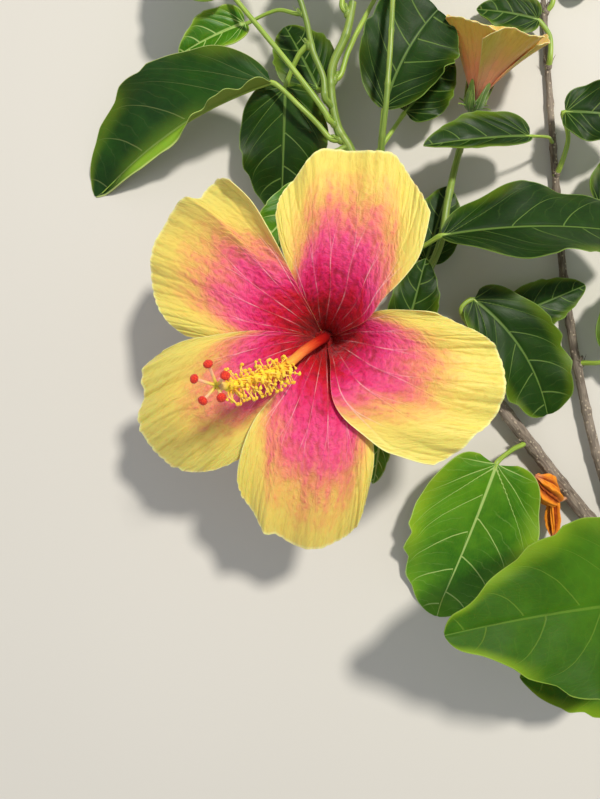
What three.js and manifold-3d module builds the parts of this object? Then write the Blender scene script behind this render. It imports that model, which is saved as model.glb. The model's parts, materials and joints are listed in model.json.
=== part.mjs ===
// Cut hibiscus branch with an open bloom, lying on a level surface.
// Millimetres, +Z up. The plan is laid out round the axis of the open bloom, and the finished
// group is then placed with the bottom centre of its box at the origin.
import * as THREE from "three";
import { mergeVertices } from "three/addons/utils/BufferGeometryUtils.js";
import Module from "manifold-3d";

const wasm = await Module();
wasm.setup();

// Where the bloom's axis stands, measured from the bottom centre of the whole branch.
const BLOOM_AXIS = new THREE.Vector3(-27.7, -20, 0);

// The open bloom: about 150 mm tall and 136 mm wide.
const THROAT_HEIGHT = 62; // of the throat above the surface that the branch lies on
const FUNNEL_DEPTH = 20; // of the throat's mouth above the foot of the petals
const FUNNEL_RISE = 34; // that the petals climb before they level out
const FUNNEL_SPREAD = 9; // radius over which they do most of that climb
const RIM_START = 40; // radius where the petals start to turn down
const RIM_DROP = 10; // that they turn down over RIM_SPAN
const RIM_SPAN = 35;
const LEAN = Math.tan(THREE.MathUtils.degToRad(8)); // the bloom's left side hangs lower
const CLAW_RADIUS = 4; // where each petal's claw meets the receptacle
const CLAW_HALF_ANGLE = 30; // degrees
const PETAL_THICKNESS = 0.8;
const OVERLAP_AT_CLAW = 0.6; // half the step from one petal's edge down to its neighbour's
const OVERLAP_OUTSIDE = 1.8;
const RUFFLE = 1.8; // height of the waves along a petal's margin

const COLUMN_FOOT_RADIUS = 2.1;
const COLUMN_TIP_RADIUS = 1.5;
const STAMENS = 22;
const FIRST_STAMEN = 0.6; // share of the column's length where they start
const LAST_STAMEN = 0.985;
const STAMEN_LEAN = new THREE.Vector3(0.3, -1.5, -0.6); // that an anther sags
const FILAMENT_LENGTH = 4.4;
const FILAMENT_RADIUS = 0.35;
const ANTHER_RADIUS = 0.95;
const STIGMA_RADIUS = 1.4;
const STYLE_RADIUS = 0.5;
const BUNDLE_RADIUS = 1.2; // of the styles where they run together

const CALYX_LENGTH = 22;
const CALYX_RADIUS = 7.6;
const BRACTS = 7; // narrow leaves under the calyx
const BRACT_LENGTH = 12;
const BRACT_FOOT = 0.9; // half widths at a bract's foot and tip
const BRACT_TIP = 0.15;
const BRACT_SPREAD = 0.75; // radians that a bract leans out

// The second bloom, half open: where its calyx stands and which way it faces.
const YOUNG_FOOT = new THREE.Vector3(69.3, 108, 11.5);
const YOUNG_AXIS = new THREE.Vector3(0.175, 0.826, 0.52).normalize();
const YOUNG_LENGTH = 31;
const YOUNG_RADIUS = 23.5;
const YOUNG_WALL = 1.2;
const YOUNG_SEAT = 4.5; // height of its petals' foot above the foot of its calyx

const BUD_LENGTH = 26;
const BUD_RADIUS = 4.6;

// The withered bloom, on a short stalk low on the main stem: a broad flap and a thin roll.
const FLAP_AXIS = new THREE.Vector3(-0.62, 0.66, 0.36).normalize();
const FLAP_LENGTH = 19;
const FLAP_RADIUS = 5.4;
const ROLL_AXIS = new THREE.Vector3(-0.03, -0.98, -0.08).normalize();
const ROLL_LENGTH = 19;
const ROLL_RADIUS = 2.6;
const WITHERED_TWIST = 2.2; // radians from a piece's foot to its tip
const WITHERED_STALK = 0.9; // radius
const WITHERED_SUNK = 1.5; // that its stalk runs into it

const LEAF_THICKNESS = 0.9;
const STALK_RADIUS = 1.3; // of a leaf's stalk and of the open bloom's
const GAP = 0.3; // clearance where one piece meets the next
const SUNK = 0.07; // share of a blade's length that its stalk runs under it

const UP = new THREE.Vector3(0, 0, 1);
const GOLDEN_ANGLE = Math.PI * (3 - Math.sqrt(5));

const vector = (point) => new THREE.Vector3(...point);

const paint = (color, roughness) => new THREE.MeshStandardMaterial({ color, roughness, metalness: 0 });
const petalYellow = paint("#e0b45a", 0.6);
const petalPeach = paint("#d9955c", 0.6);
const columnOrange = paint("#e8762a", 0.55);
const leafDark = paint("#1f4a16", 0.4);
const leafLit = paint("#5f9a2c", 0.4);
const stemGreen = paint("#7f9a3c", 0.55);
const barkBrown = paint("#7b6f60", 0.85);
const witheredOrange = paint("#c9741c", 0.75);

const branch = new THREE.Group();

function addMesh(name, geometry, material) {
  const mesh = new THREE.Mesh(geometry, material);
  mesh.name = name;
  branch.add(mesh);
}

// Joining: each closed piece becomes a solid, and their union becomes one mesh again.
function solidOf(geometry) {
  const bare = geometry.clone();
  bare.deleteAttribute("normal");
  bare.deleteAttribute("uv");
  const merged = mergeVertices(bare, 1e-4);
  return new wasm.Manifold(
    new wasm.Mesh({
      numProp: 3,
      vertProperties: merged.getAttribute("position").array,
      triVerts: new Uint32Array(merged.index.array),
    }),
  );
}

function join(geometries) {
  const whole = geometries.map(solidOf).reduce((sum, piece) => sum.add(piece));
  const { vertProperties, triVerts } = whole.getMesh();
  const geometry = new THREE.BufferGeometry();
  geometry.setAttribute("position", new THREE.BufferAttribute(vertProperties, 3));
  geometry.setIndex(new THREE.BufferAttribute(triVerts, 1));
  geometry.computeVertexNormals();
  return geometry;
}

// Moves every vertex of a geometry to the point that place() gives for it.
function reshape(geometry, place) {
  const position = geometry.getAttribute("position");
  const point = new THREE.Vector3();
  for (let i = 0; i < position.count; i += 1) {
    point.fromBufferAttribute(position, i);
    const moved = place(point);
    position.setXYZ(i, moved.x, moved.y, moved.z);
  }
  geometry.computeVertexNormals();
  return geometry;
}

// A round rod along a stretch of a curve, with flat ends. radiusAt takes the share of the curve,
// and a crowding over 1 draws the rings together near the rod's start, where it bends most.
function rod(curve, from, to, radiusAt, sides, steps, crowding = 1) {
  const rings = [];
  const across = new THREE.Vector3(0.31, 0.17, 0.93);
  for (let i = 0; i <= steps; i += 1) {
    const share = from + (to - from) * (i / steps) ** crowding;
    const along = curve.getTangentAt(share);
    across.projectOnPlane(along).normalize();
    const beside = across.clone().cross(along);
    const centre = curve.getPointAt(share);
    rings.push({ centre, across: across.clone(), beside, radius: radiusAt(share) });
  }
  return reshape(new THREE.CylinderGeometry(1, 1, 1, sides, steps), (point) => {
    const ring = rings[Math.round((point.y + 0.5) * steps)];
    return ring.centre
      .clone()
      .addScaledVector(ring.across, point.x * ring.radius)
      .addScaledVector(ring.beside, point.z * ring.radius);
  });
}

// A thin sheet over surface(t, s), t running across from -1 to 1 and s along from 0 to 1.
function sheet(surface, thickness, across, along) {
  const STEP = 0.01;
  return reshape(new THREE.BoxGeometry(1, 1, 1, across, along, 1), (point) => {
    const t = point.x * 2;
    const s = point.y + 0.5;
    const centre = surface(t, s);
    const sideways = surface(t + STEP, s).sub(surface(t - STEP, s));
    const forward = surface(t, s + STEP).sub(surface(t, s - STEP));
    const normal = sideways.cross(forward).normalize();
    return centre.addScaledVector(normal, point.z * thickness);
  });
}

// Stems. Each is one curve that thins from its foot to its tip, cut into nearly straight lengths.
function makeStem(points, footRadius, tipRadius) {
  const curve = new THREE.CatmullRomCurve3(points.map(vector));
  const radiusAt = (share) => THREE.MathUtils.lerp(footRadius, tipRadius, share);
  return { curve, radiusAt };
}

function addStem(names, stem, cuts, materials, sides = 8, steps = 6, crowding = 1) {
  const halfGap = GAP / 2 / stem.curve.getLength();
  names.forEach((name, i) => {
    const from = cuts[i] + (i > 0 ? halfGap : 0);
    const to = cuts[i + 1] - (i < names.length - 1 ? halfGap : 0);
    const length = rod(stem.curve, from, to, stem.radiusAt, sides, steps, i > 0 ? 1 : crowding);
    addMesh(name, length, materials[i]);
  });
}

// The share of a curve that lies nearest to a point.
function nearestShare(curve, point) {
  const SAMPLES = 300;
  let best = 0;
  let shortest = Infinity;
  for (let i = 0; i <= SAMPLES; i += 1) {
    const distance = curve.getPointAt(i / SAMPLES).distanceTo(point);
    if (distance < shortest) {
      shortest = distance;
      best = i / SAMPLES;
    }
  }
  return best;
}

// Where a side piece is seated on a stem: its foot, and the way that it leaves the bark.
function seatOn(stem, near, target) {
  const share = nearestShare(stem.curve, vector(near));
  const centre = stem.curve.getPointAt(share);
  const along = stem.curve.getTangentAt(share);
  const out = target.clone().sub(centre);
  out.addScaledVector(along, -out.dot(along)).normalize();
  const foot = centre.addScaledVector(out, stem.radiusAt(share) + GAP);
  return { foot, out };
}

// Points of a side piece that leaves a stem squarely and then bends to its first point.
function seatedPath(stem, near, points, lead = 3) {
  const { foot, out } = seatOn(stem, near, vector(points[0]));
  const straight = [0, 0.4, 1].map((share) => foot.clone().addScaledVector(out, share * lead));
  return [...straight.map((point) => point.toArray()), ...points];
}

const mainStem = makeStem(
  [
    [158, -115, 3.6],
    [127, -82, 5],
    [83.5, -27.5, 8],
    [50, 14, 12],
    [22.5, 58.5, 18],
    [12, 86.5, 24],
    [6.5, 95, 26],
    [3.5, 117.5, 30],
    [10, 133, 33],
    [12.5, 145, 35],
  ],
  3.6,
  1.7,
);
addStem(
  ["stem_cut_end", "stem_lower", "stem_middle", "stem_upper", "stem_tip"],
  mainStem,
  [0, 0.26, 0.5, 0.73, 0.89, 1],
  [barkBrown, barkBrown, barkBrown, stemGreen, stemGreen],
);

const longBough = makeStem(
  seatedPath(
    mainStem,
    [137, -93, 4.5],
    [
      [137, -74, 5.2],
      [127, -39, 5.4],
      [116, 21.5, 4.6],
      [111.5, 77, 3.4],
      [108, 132, 2.4],
      [106, 166, 1.7],
    ],
    6,
  ),
  2.4,
  1.2,
);
addStem(["bough_lower", "bough_upper"], longBough, [0, 0.5, 1], [barkBrown, barkBrown], 8, 7, 2);

const sideShoot = makeStem(
  seatedPath(
    mainStem,
    [42.5, 26, 13],
    [
      [54, 46, 14.5],
      [57.5, 66, 15],
      [62.5, 86, 11.5],
      YOUNG_FOOT.clone().addScaledVector(YOUNG_AXIS, -8).toArray(),
      YOUNG_FOOT.clone().addScaledVector(YOUNG_AXIS, -1.5 * GAP).toArray(),
    ],
    4,
  ),
  1.9,
  1.5,
);
addStem(["side_shoot"], sideShoot, [0, 1], [stemGreen], 8, 7, 1.7);

const leftShoot = makeStem(
  seatedPath(mainStem, [5.3, 105, 27.8], [
    [0, 114, 32],
    [-4.5, 125, 33],
    [-7.5, 138, 34],
    [-11.5, 150, 36],
    [-16, 162, 38],
  ]),
  1.45,
  1.1,
);
addStem(["left_shoot"], leftShoot, [0, 1], [stemGreen], 6, 8, 1.7);

const budStalk = makeStem(
  seatedPath(
    mainStem,
    [19, 66, 20],
    [
      [25, 76, 29],
      [25, 86, 35],
      [26, 100, 41],
      [27.5, 125, 44],
      [28.5, 146, 44],
    ],
    4,
  ),
  1.4,
  1.05,
);
addStem(["bud_stalk"], budStalk, [0, 1], [stemGreen], 6, 9, 1.7);

// Leaves. Each is an ovate blade on a midrib that arches upwards and bows sideways, with its stalk
// joined under it.
const BLADE_START = 0.01;
const BLADE_END = 0.996;
const OVATE = [0.45, 0.75]; // powers of a blade's outline towards its base and its tip
const MARGIN_WAVES = 2.3;

function leafSurface({
  base, tip, halfWidth, arch = 8, bow = 0, roll = 0, fold = 0.15, wave = 2, slim = 1, powers = OVATE,
}) {
  const from = vector(base);
  const to = vector(tip);
  const sideways = UP.clone().cross(to.clone().sub(from)).normalize();
  const middle = from.clone().lerp(to, 0.5).addScaledVector(UP, arch).addScaledVector(sideways, bow);
  const [foot, end] = powers;
  const peak = foot / (foot + end); // share of its length where the blade is broadest
  const midrib = new THREE.QuadraticBezierCurve3(from, middle, to);
  const turn = THREE.MathUtils.degToRad(roll);
  return (t, s) => {
    const reached = THREE.MathUtils.lerp(BLADE_START, BLADE_END, s);
    const share = THREE.MathUtils.clamp(reached, 1e-3, 0.9995);
    const along = midrib.getTangent(share);
    const side = along.clone().cross(UP).normalize().applyAxisAngle(along, turn);
    const normal = side.clone().cross(along);
    const outline = (share / peak) ** foot * ((1 - share) / (1 - peak)) ** end;
    const width = halfWidth * outline * (t < 0 ? slim : 1);
    const waved = wave * t * t * Math.sin(2 * Math.PI * MARGIN_WAVES * share + (t > 0 ? 0 : 1.9));
    const lift = fold * Math.abs(t) * width + waved * (width / halfWidth);
    const point = midrib.getPoint(share).addScaledVector(side, t * width).addScaledVector(normal, lift);
    point.z = Math.max(point.z, LEAF_THICKNESS / 2); // it lies on the surface where it reaches it
    return point;
  };
}

function addLeaf(name, stem, near, via, leaf, material = leafDark) {
  const surface = leafSurface(leaf);
  const start = surface(0, 0.004);
  const sunk = surface(0, SUNK);
  const path = [...seatedPath(stem, near, [...via, start.toArray()]), sunk.toArray()];
  const stalk = new THREE.CatmullRomCurve3(path.map(vector));
  const thin = leaf.stalkRadius ?? STALK_RADIUS;
  const radiusAt = (share) => thin * (1.08 - 0.3 * share);
  const blade = sheet(surface, LEAF_THICKNESS, 4, 8);
  addMesh(name, join([blade, rod(stalk, 0, 1, radiusAt, 5, 6, 1.6)]), material);
}

addLeaf("leaf_upper_left", mainStem, [8.8, 91.5, 25.4], [[-2, 96, 26.5], [-10, 102.9, 29]], {
  base: [-21.9, 113.2, 31],
  tip: [-108.2, 72, -3],
  halfWidth: 28.5,
  arch: 17,
  bow: -6,
  slim: 0.2,
  powers: [0.6, 0.65],
});
addLeaf("leaf_hanging", leftShoot, [-5.5, 128, 33], [[-11, 124.5, 29.5]], {
  base: [-16.5, 114, 25],
  tip: [-19, 60, 3],
  halfWidth: 20,
  arch: 3,
  fold: 0.05,
});
addLeaf("leaf_upper_middle", budStalk, [23, 77, 28], [[25.5, 90, 27]], {
  base: [27, 103, 26],
  tip: [49, 142, 35],
  halfWidth: 21,
  arch: 4,
  bow: 6,
  roll: 4,
  powers: [0.6, 0.4],
});
addLeaf("leaf_behind_middle", mainStem, [16, 76, 21.5], [[28, 92, 15]], {
  base: [38, 107, 14],
  tip: [59, 128, 19],
  halfWidth: 13,
  arch: 3,
});
addLeaf("leaf_right", mainStem, [30, 46, 16], [[42, 42, 26]], {
  base: [50, 45.5, 34],
  tip: [139.5, 46.5, 30],
  halfWidth: 22,
  arch: 9,
  bow: 6,
  roll: -35,
  fold: 0.2,
  wave: 2.5,
  powers: [0.65, 0.8],
});
addLeaf("leaf_shaded", mainStem, [38.5, 32, 13.5], [[44, 35, 8]], {
  base: [49, 40, 6],
  tip: [60, 76, 5],
  halfWidth: 12,
  arch: 3,
  wave: 1,
});
addLeaf("leaf_right_lower", mainStem, [76, -18, 9], [[77, -2, 13], [68, 7.5, 15.5], [62.5, 16, 19]], {
  base: [67.5, 20.5, 20.5],
  tip: [104, -32, 13],
  halfWidth: 17.5,
  arch: 7,
  bow: 10,
  powers: [0.4, 0.4],
});
addLeaf("leaf_right_behind", mainStem, [58, 4, 11], [[70, 8, 10.5]], {
  base: [84, 12, 11],
  tip: [122, 28, 12],
  halfWidth: 11,
  arch: 3,
  wave: 1.2,
});
addLeaf(
  "leaf_bottom_right",
  mainStem,
  [96.5, -44, 7],
  [[88, -47.5, 14]],
  {
    base: [78.4, -53.3, 21],
    tip: [55.5, -129, -3],
    halfWidth: 28.5,
    arch: 9,
    bow: -1,
    fold: 0.08,
    powers: [0.4, 0.6],
  },
  leafLit,
);
addLeaf(
  "leaf_foreground",
  mainStem,
  [150, -106.5, 4.2],
  [[152, -98, 30], [146, -99, 52]],
  {
    base: [133, -102.5, 62],
    tip: [41, -108.5, 84],
    halfWidth: 33,
    arch: 7,
    bow: -6,
    roll: 12,
    fold: 0.1,
    powers: [0.45, 1.05],
    stalkRadius: 1.6,
  },
  leafLit,
);
addLeaf(
  "leaf_foreground_lower",
  mainStem,
  [144, -100, 4.2],
  [[146, -112, 22]],
  {
    base: [139, -129, 36],
    tip: [80, -139, 47],
    halfWidth: 22,
    arch: 5,
  },
  leafLit,
);
addLeaf("leaf_bough_left", longBough, [110.5, 97, 3], [[102, 94, 18]], {
  base: [92, 91.6, 26],
  tip: [43, 84.6, 33],
  halfWidth: 13,
  arch: 5,
  roll: 20,
  wave: 0.8,
  slim: 0.45,
});
addLeaf("leaf_bough_right", longBough, [111.5, 82, 3.3], [[113, 95, 14]], {
  base: [108, 104, 22],
  tip: [141, 99, 25],
  halfWidth: 13,
  arch: 4,
});
addLeaf("leaf_bough_top", longBough, [108, 134, 2.4], [[107, 146, 7]], {
  base: [102, 153, 8],
  tip: [73, 159, 6],
  halfWidth: 9,
  arch: 3,
  wave: 1,
});
addLeaf("leaf_behind_bloom", mainStem, [55, 9, 11.5], [[45, 1, 15]], {
  base: [37, 3, 19],
  tip: [46, 38, 23],
  halfWidth: 11,
  arch: 2,
  wave: 1,
});
addLeaf(
  "leaf_young_left",
  leftShoot,
  [-8.5, 141, 34.5],
  [[-20, 145, 29]],
  {
    base: [-34, 141, 26.5],
    tip: [-64, 128, 24],
    halfWidth: 9,
    arch: 4,
    fold: 0.5,
    wave: 1,
    stalkRadius: 0.9,
  },
  leafLit,
);
addLeaf(
  "leaf_between_petals",
  mainStem,
  [17, 71, 21],
  [[6, 75, 16]],
  {
    base: [-4, 72, 13.5],
    tip: [-32, 43, 11],
    halfWidth: 11,
    arch: 2,
    wave: 1,
  },
  leafLit,
);
addLeaf(
  "leaf_under_bloom",
  mainStem,
  [62, -1, 10.5],
  [[44, -19, 22]],
  {
    base: [25.5, -36, 30],
    tip: [22, -62, 28],
    halfWidth: 5,
    arch: 3,
    fold: 0.4,
    wave: 0.8,
    stalkRadius: 1,
  },
  leafLit,
);
addLeaf("leaf_behind_shoots", mainStem, [3.6, 113, 29], [[1, 113, 24]], {
  base: [-2, 115, 20],
  tip: [-17, 147, 13],
  halfWidth: 14,
  arch: 3,
  wave: 1,
});
addLeaf("leaf_top_left", mainStem, [6, 97.5, 26.6], [[1, 99.5, 30.5], [-12, 115.7, 33.5]], {
  base: [-40, 149, 37],
  tip: [-67, 188, 30],
  halfWidth: 20,
  arch: 8,
});
addLeaf("leaf_top_middle", mainStem, [11.5, 141, 34.5], [[8, 148, 35.5]], {
  base: [6, 156, 36],
  tip: [0, 192, 30],
  halfWidth: 17,
  arch: 6,
});
addLeaf("leaf_top_right", mainStem, [3.8, 115, 29.5], [[11, 127, 29.5]], {
  base: [25, 155, 28],
  tip: [55, 187, 23],
  halfWidth: 18,
  arch: 5,
});
addLeaf(
  "leaf_shoot_tip",
  leftShoot,
  [-15, 160, 37.6],
  [[-19, 163, 39]],
  {
    base: [-22, 167, 40],
    tip: [-29, 186, 40],
    halfWidth: 6,
    arch: 3,
    fold: 0.4,
    wave: 0.6,
    stalkRadius: 0.7,
  },
  leafLit,
);
addLeaf("leaf_right_outer", longBough, [120, -8, 5], [[127, -8, 13]], {
  base: [133, -6, 18],
  tip: [160, 38, 16],
  halfWidth: 19,
  arch: 7,
});
addLeaf("leaf_right_upper", longBough, [113, 58, 3.8], [[120, 60, 11]], {
  base: [127, 65, 14],
  tip: [160, 88, 9],
  halfWidth: 16,
  arch: 6,
});
addLeaf("leaf_bough_tip", longBough, [106.3, 160, 2], [[110, 165, 5]], {
  base: [114, 170, 7],
  tip: [134, 194, 3],
  halfWidth: 12,
  arch: 5,
});

// The open bloom. Each petal's outline is three splines in plan, round the throat: the edge that
// lies over its neighbour, the outer margin, and the edge that lies under the next petal.
function petalHeight(x, y) {
  const radius = Math.hypot(x, y);
  const climb = FUNNEL_RISE * (1 - Math.exp(-(radius - CLAW_RADIUS) / FUNNEL_SPREAD));
  const turned = Math.max(radius - RIM_START, 0) / RIM_SPAN;
  const leaning = x * LEAN * THREE.MathUtils.smoothstep(radius, CLAW_RADIUS, 5 * CLAW_RADIUS);
  return climb - FUNNEL_DEPTH - RIM_DROP * turned * turned + leaning;
}

function petalNormal(x, y) {
  const STEP = 0.05;
  const slopeX = (petalHeight(x + STEP, y) - petalHeight(x - STEP, y)) / (2 * STEP);
  const slopeY = (petalHeight(x, y + STEP) - petalHeight(x, y - STEP)) / (2 * STEP);
  return new THREE.Vector3(-slopeX, -slopeY, 1).normalize();
}

const spline = (points) => new THREE.SplineCurve(points.map(([x, y]) => new THREE.Vector2(x, y)));

function petalSurface({ angle, over, margin, under, waves, phase }) {
  const claw = (turn) => {
    const direction = THREE.MathUtils.degToRad(angle + turn * CLAW_HALF_ANGLE);
    return [CLAW_RADIUS * Math.cos(direction), CLAW_RADIUS * Math.sin(direction)];
  };
  const overEdge = spline([claw(-1), ...over, margin[0]]);
  const outerEdge = spline(margin);
  const underEdge = spline([claw(1), ...under, margin[margin.length - 1]]);
  const first = new THREE.Vector2(...margin[0]);
  const last = new THREE.Vector2(...margin[margin.length - 1]);
  return (across, along) => {
    const t = THREE.MathUtils.clamp((across + 1) / 2, 0, 1);
    const s = THREE.MathUtils.clamp(along, 0, 1);
    const foot = new THREE.Vector2(...claw(2 * t - 1));
    const left = new THREE.Vector2(...claw(-1));
    const right = new THREE.Vector2(...claw(1));
    const plan = overEdge.getPointAt(s).multiplyScalar(1 - t);
    plan.addScaledVector(underEdge.getPointAt(s), t);
    plan.addScaledVector(foot, 1 - s).addScaledVector(outerEdge.getPointAt(t), s);
    plan.addScaledVector(left, -(1 - s) * (1 - t)).addScaledVector(right, -(1 - s) * t);
    plan.addScaledVector(first, -s * (1 - t)).addScaledVector(last, -s * t);
    const radius = plan.length();
    const outside = THREE.MathUtils.smoothstep(radius, 5, 12);
    const step = THREE.MathUtils.lerp(OVERLAP_AT_CLAW, OVERLAP_OUTSIDE, outside);
    const ruffle = RUFFLE * s ** 3 * Math.sin(2 * Math.PI * waves * t + phase);
    const point = new THREE.Vector3(plan.x, plan.y, petalHeight(plan.x, plan.y));
    return point.addScaledVector(petalNormal(plan.x, plan.y), step * (1 - 2 * t) + ruffle);
  };
}

const petals = {
  petal_top: {
    angle: 82,
    over: [[14.8, 4.2], [20.6, 11.7], [27, 18.2], [32.4, 25.5], [34.8, 33.3]],
    margin: [
      [36.5, 41.6], [34.9, 45.4], [32.6, 51.2], [29.4, 58.7], [24.7, 65.3], [16, 67.5],
      [7.1, 69.3], [-0.7, 69.9], [-6.1, 66.7], [-11.4, 60], [-17.2, 52.8], [-19.6, 43.8],
    ],
    under: [[-5.1, 5.8], [-10.5, 15.1], [-14.6, 24.4], [-17.8, 33.8]],
    waves: 3.2,
    phase: 0.6,
  },
  petal_upper_left: {
    angle: 145,
    over: [[-8.7, 13.8], [-14.9, 25.5], [-20.6, 36.5], [-26, 45.5]],
    margin: [
      [-33.7, 53.4], [-39.5, 57], [-45.1, 55.1], [-47.9, 51.7], [-54.4, 52.6], [-60.5, 49.5],
      [-67, 39.3], [-69.4, 28], [-68.5, 17.5], [-64.2, 8.3], [-59.2, 2.6], [-54.4, -0.6],
    ],
    under: [[-12.9, -2.2], [-23.2, -4.1], [-33.7, -3.5], [-44.2, -2.6]],
    waves: 3.4,
    phase: 2.2,
  },
  petal_left: {
    angle: 195,
    over: [[-11.6, 0.5], [-22.7, 0.8], [-30.7, 0.6], [-42.4, -0.9], [-52.9, -2.5]],
    margin: [
      [-62.2, -6.1], [-69.5, -11.4], [-71.6, -17.1], [-71.1, -22.2], [-73, -28.2], [-73.2, -37.2],
      [-70.2, -44.5], [-63.9, -50.1], [-53.9, -53.8], [-44.8, -52.9], [-34.2, -48.4],
    ],
    under: [[-8.7, -9.9], [-14.6, -18.9], [-19.6, -28.4], [-24, -38.1]],
    waves: 3.8,
    phase: 4.1,
  },
  petal_bottom: {
    angle: 265,
    over: [[-8.7, -9.7], [-18.3, -22.1], [-25.5, -30.4], [-29.8, -39], [-32.5, -48.3]],
    margin: [
      [-33.2, -54.8], [-31.5, -61.6], [-27.5, -68.4], [-23.4, -75.1], [-19.2, -76.7], [-13.6, -81.4],
      [-7, -83.2], [0.3, -82.1], [7.5, -78.1], [12.4, -70.7], [15, -60.9],
    ],
    under: [[6.5, -12.1], [11.2, -22.4], [15, -33.1], [16.9, -44.2], [16.6, -52.5]],
    waves: 3.6,
    phase: 1.1,
  },
  petal_right: {
    angle: 345,
    over: [
      [1.8, -11.1], [1.5, -18.7], [2.3, -25.7], [5.8, -31.6], [12.6, -37.5], [20, -43], [25.5, -45],
      [33.1, -47.3],
    ],
    margin: [
      [38.3, -48.1], [44, -45.5], [49.4, -41.2], [52.3, -37.6], [59.4, -33], [63, -25.5],
      [63.7, -14.3], [60.9, -6.4], [54.5, -1.5], [42.9, 4.7], [34.8, 6.8],
    ],
    under: [[7.2, 5.1], [13, 6.7], [21.6, 8.1]],
    waves: 3.7,
    phase: 3.3,
  },
};
for (const [name, petal] of Object.entries(petals)) {
  const geometry = sheet(petalSurface(petal), PETAL_THICKNESS, 12, 8);
  geometry.translate(0, 0, THROAT_HEIGHT);
  addMesh(name, geometry, petalYellow);
}

// The staminal column: a rod with stamens all round its outer part, and five styles that run on from
// its end as one bundle, part and end in stigmas.
const column = new THREE.CatmullRomCurve3(
  [
    [0, 0, -FUNNEL_DEPTH + GAP],
    [-0.7, -0.7, -4],
    [-8.3, -6.7, 12],
    [-16.4, -13.9, 24],
    [-26.9, -18.4, 35],
    [-34.1, -20.9, 42],
  ].map(([x, y, z]) => new THREE.Vector3(x, y, z + THROAT_HEIGHT)),
);
const columnRadius = (share) => THREE.MathUtils.lerp(COLUMN_FOOT_RADIUS, COLUMN_TIP_RADIUS, share);

function strut(from, to, radius, sides) {
  return rod(new THREE.LineCurve3(from, to), 0, 1, () => radius, sides, 1);
}

function stamen(index) {
  const share = THREE.MathUtils.lerp(FIRST_STAMEN, LAST_STAMEN, index / (STAMENS - 1));
  const root = column.getPointAt(share);
  const along = column.getTangentAt(share);
  const out = along.clone().cross(UP).normalize().applyAxisAngle(along, index * GOLDEN_ANGLE);
  const reach = FILAMENT_LENGTH * (0.85 + 0.15 * Math.sin(index * 2.4)) + COLUMN_TIP_RADIUS;
  const tip = root.clone().addScaledVector(out, reach).add(STAMEN_LEAN);
  const anther = new THREE.OctahedronGeometry(ANTHER_RADIUS, 0).translate(tip.x, tip.y, tip.z);
  return [strut(root, tip, FILAMENT_RADIUS, 3), anther];
}

const styleFork = new THREE.Vector3(-36.8, -20.4, THROAT_HEIGHT + 44.5);
const stigmaPlaces = [
  [-38.8, -13.8, 50],
  [-33.2, -17.5, 52],
  [-43.3, -18.4, 49],
  [-34.6, -24.3, 50],
  [-40.6, -25.3, 49],
];
function stigma([x, y, z]) {
  const ball = new THREE.SphereGeometry(STIGMA_RADIUS, 6, 4).translate(x, y, z + THROAT_HEIGHT);
  return [strut(styleFork, new THREE.Vector3(x, y, z + THROAT_HEIGHT), STYLE_RADIUS, 4), ball];
}

const stamens = Array.from({ length: STAMENS }, (_, index) => stamen(index)).flat();
const stigmas = stigmaPlaces.map(stigma).flat();
const bundle = strut(column.getPointAt(0.97), styleFork, BUNDLE_RADIUS, 6);
addMesh(
  "staminal_column",
  join([rod(column, 0, 1, columnRadius, 8, 12), ...stamens, bundle, ...stigmas]),
  columnOrange,
);

// The calyx: a lobed bell with the receptacle as its floor, and a ring of bracts under it.
function calyx({ length, radius, floor, cup, wall, lobes, bracts, bractLength, sides }) {
  const profile = [
    [0, 0],
    [radius * 0.3, 0],
    [radius * 0.75, length * 0.12],
    [radius, length * 0.45],
    [radius * 1.14, length],
    [radius * 1.14 - wall, length],
    [cup, floor + 1.5],
    [cup - 0.6, floor],
    [0, floor],
  ].map(([x, y]) => new THREE.Vector2(x, y));
  const bell = reshape(new THREE.LatheGeometry(profile, sides), (point) => {
    const turn = Math.atan2(point.z, point.x);
    const share = THREE.MathUtils.smoothstep(point.y, floor + 2, length);
    return point.set(point.x, point.y + share * lobes * Math.cos(5 * turn), point.z);
  });
  const pieces = [bell];
  for (let i = 0; i < bracts; i += 1) {
    const bract = new THREE.CylinderGeometry(BRACT_TIP, BRACT_FOOT, bractLength, 4, 1);
    bract.translate(0, bractLength / 2, 0).rotateZ(-BRACT_SPREAD);
    bract.translate(radius * 0.3, 0.6, 0).rotateY((2 * Math.PI * i) / bracts + 0.3);
    pieces.push(bract);
  }
  return join(pieces);
}

// Turns a piece that stands on its own foot along +Y to stand on a point along an axis.
function stand(geometry, foot, axis) {
  const turn = new THREE.Quaternion().setFromUnitVectors(new THREE.Vector3(0, 1, 0), axis);
  return geometry.applyQuaternion(turn).translate(foot.x, foot.y, foot.z);
}

const calyxFoot = new THREE.Vector3(0, 0, THROAT_HEIGHT - FUNNEL_DEPTH - CALYX_LENGTH + 3.6);
addMesh(
  "calyx",
  stand(
    calyx({
      length: CALYX_LENGTH,
      radius: CALYX_RADIUS + 1,
      floor: CALYX_LENGTH - 4.3,
      cup: CALYX_RADIUS,
      wall: 1,
      lobes: 3.4,
      bracts: BRACTS,
      bractLength: BRACT_LENGTH,
      sides: 15,
    }),
    calyxFoot,
    UP,
  ),
  stemGreen,
);

const flowerStalk = new THREE.CatmullRomCurve3(
  seatedPath(mainStem, [10.6, 87.5, 24.3], [
    [-4, 80, 25],
    [-8.5, 66, 23.5],
    [-6, 42, 19],
    [-2, 16, 13],
    [-0.4, 4, 14.5],
    calyxFoot.clone().addScaledVector(UP, -1.5 * GAP).toArray(),
  ]).map(vector),
);
addMesh("flower_stalk", rod(flowerStalk, 0, 1, () => STALK_RADIUS, 6, 14, 1.2), stemGreen);

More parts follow.
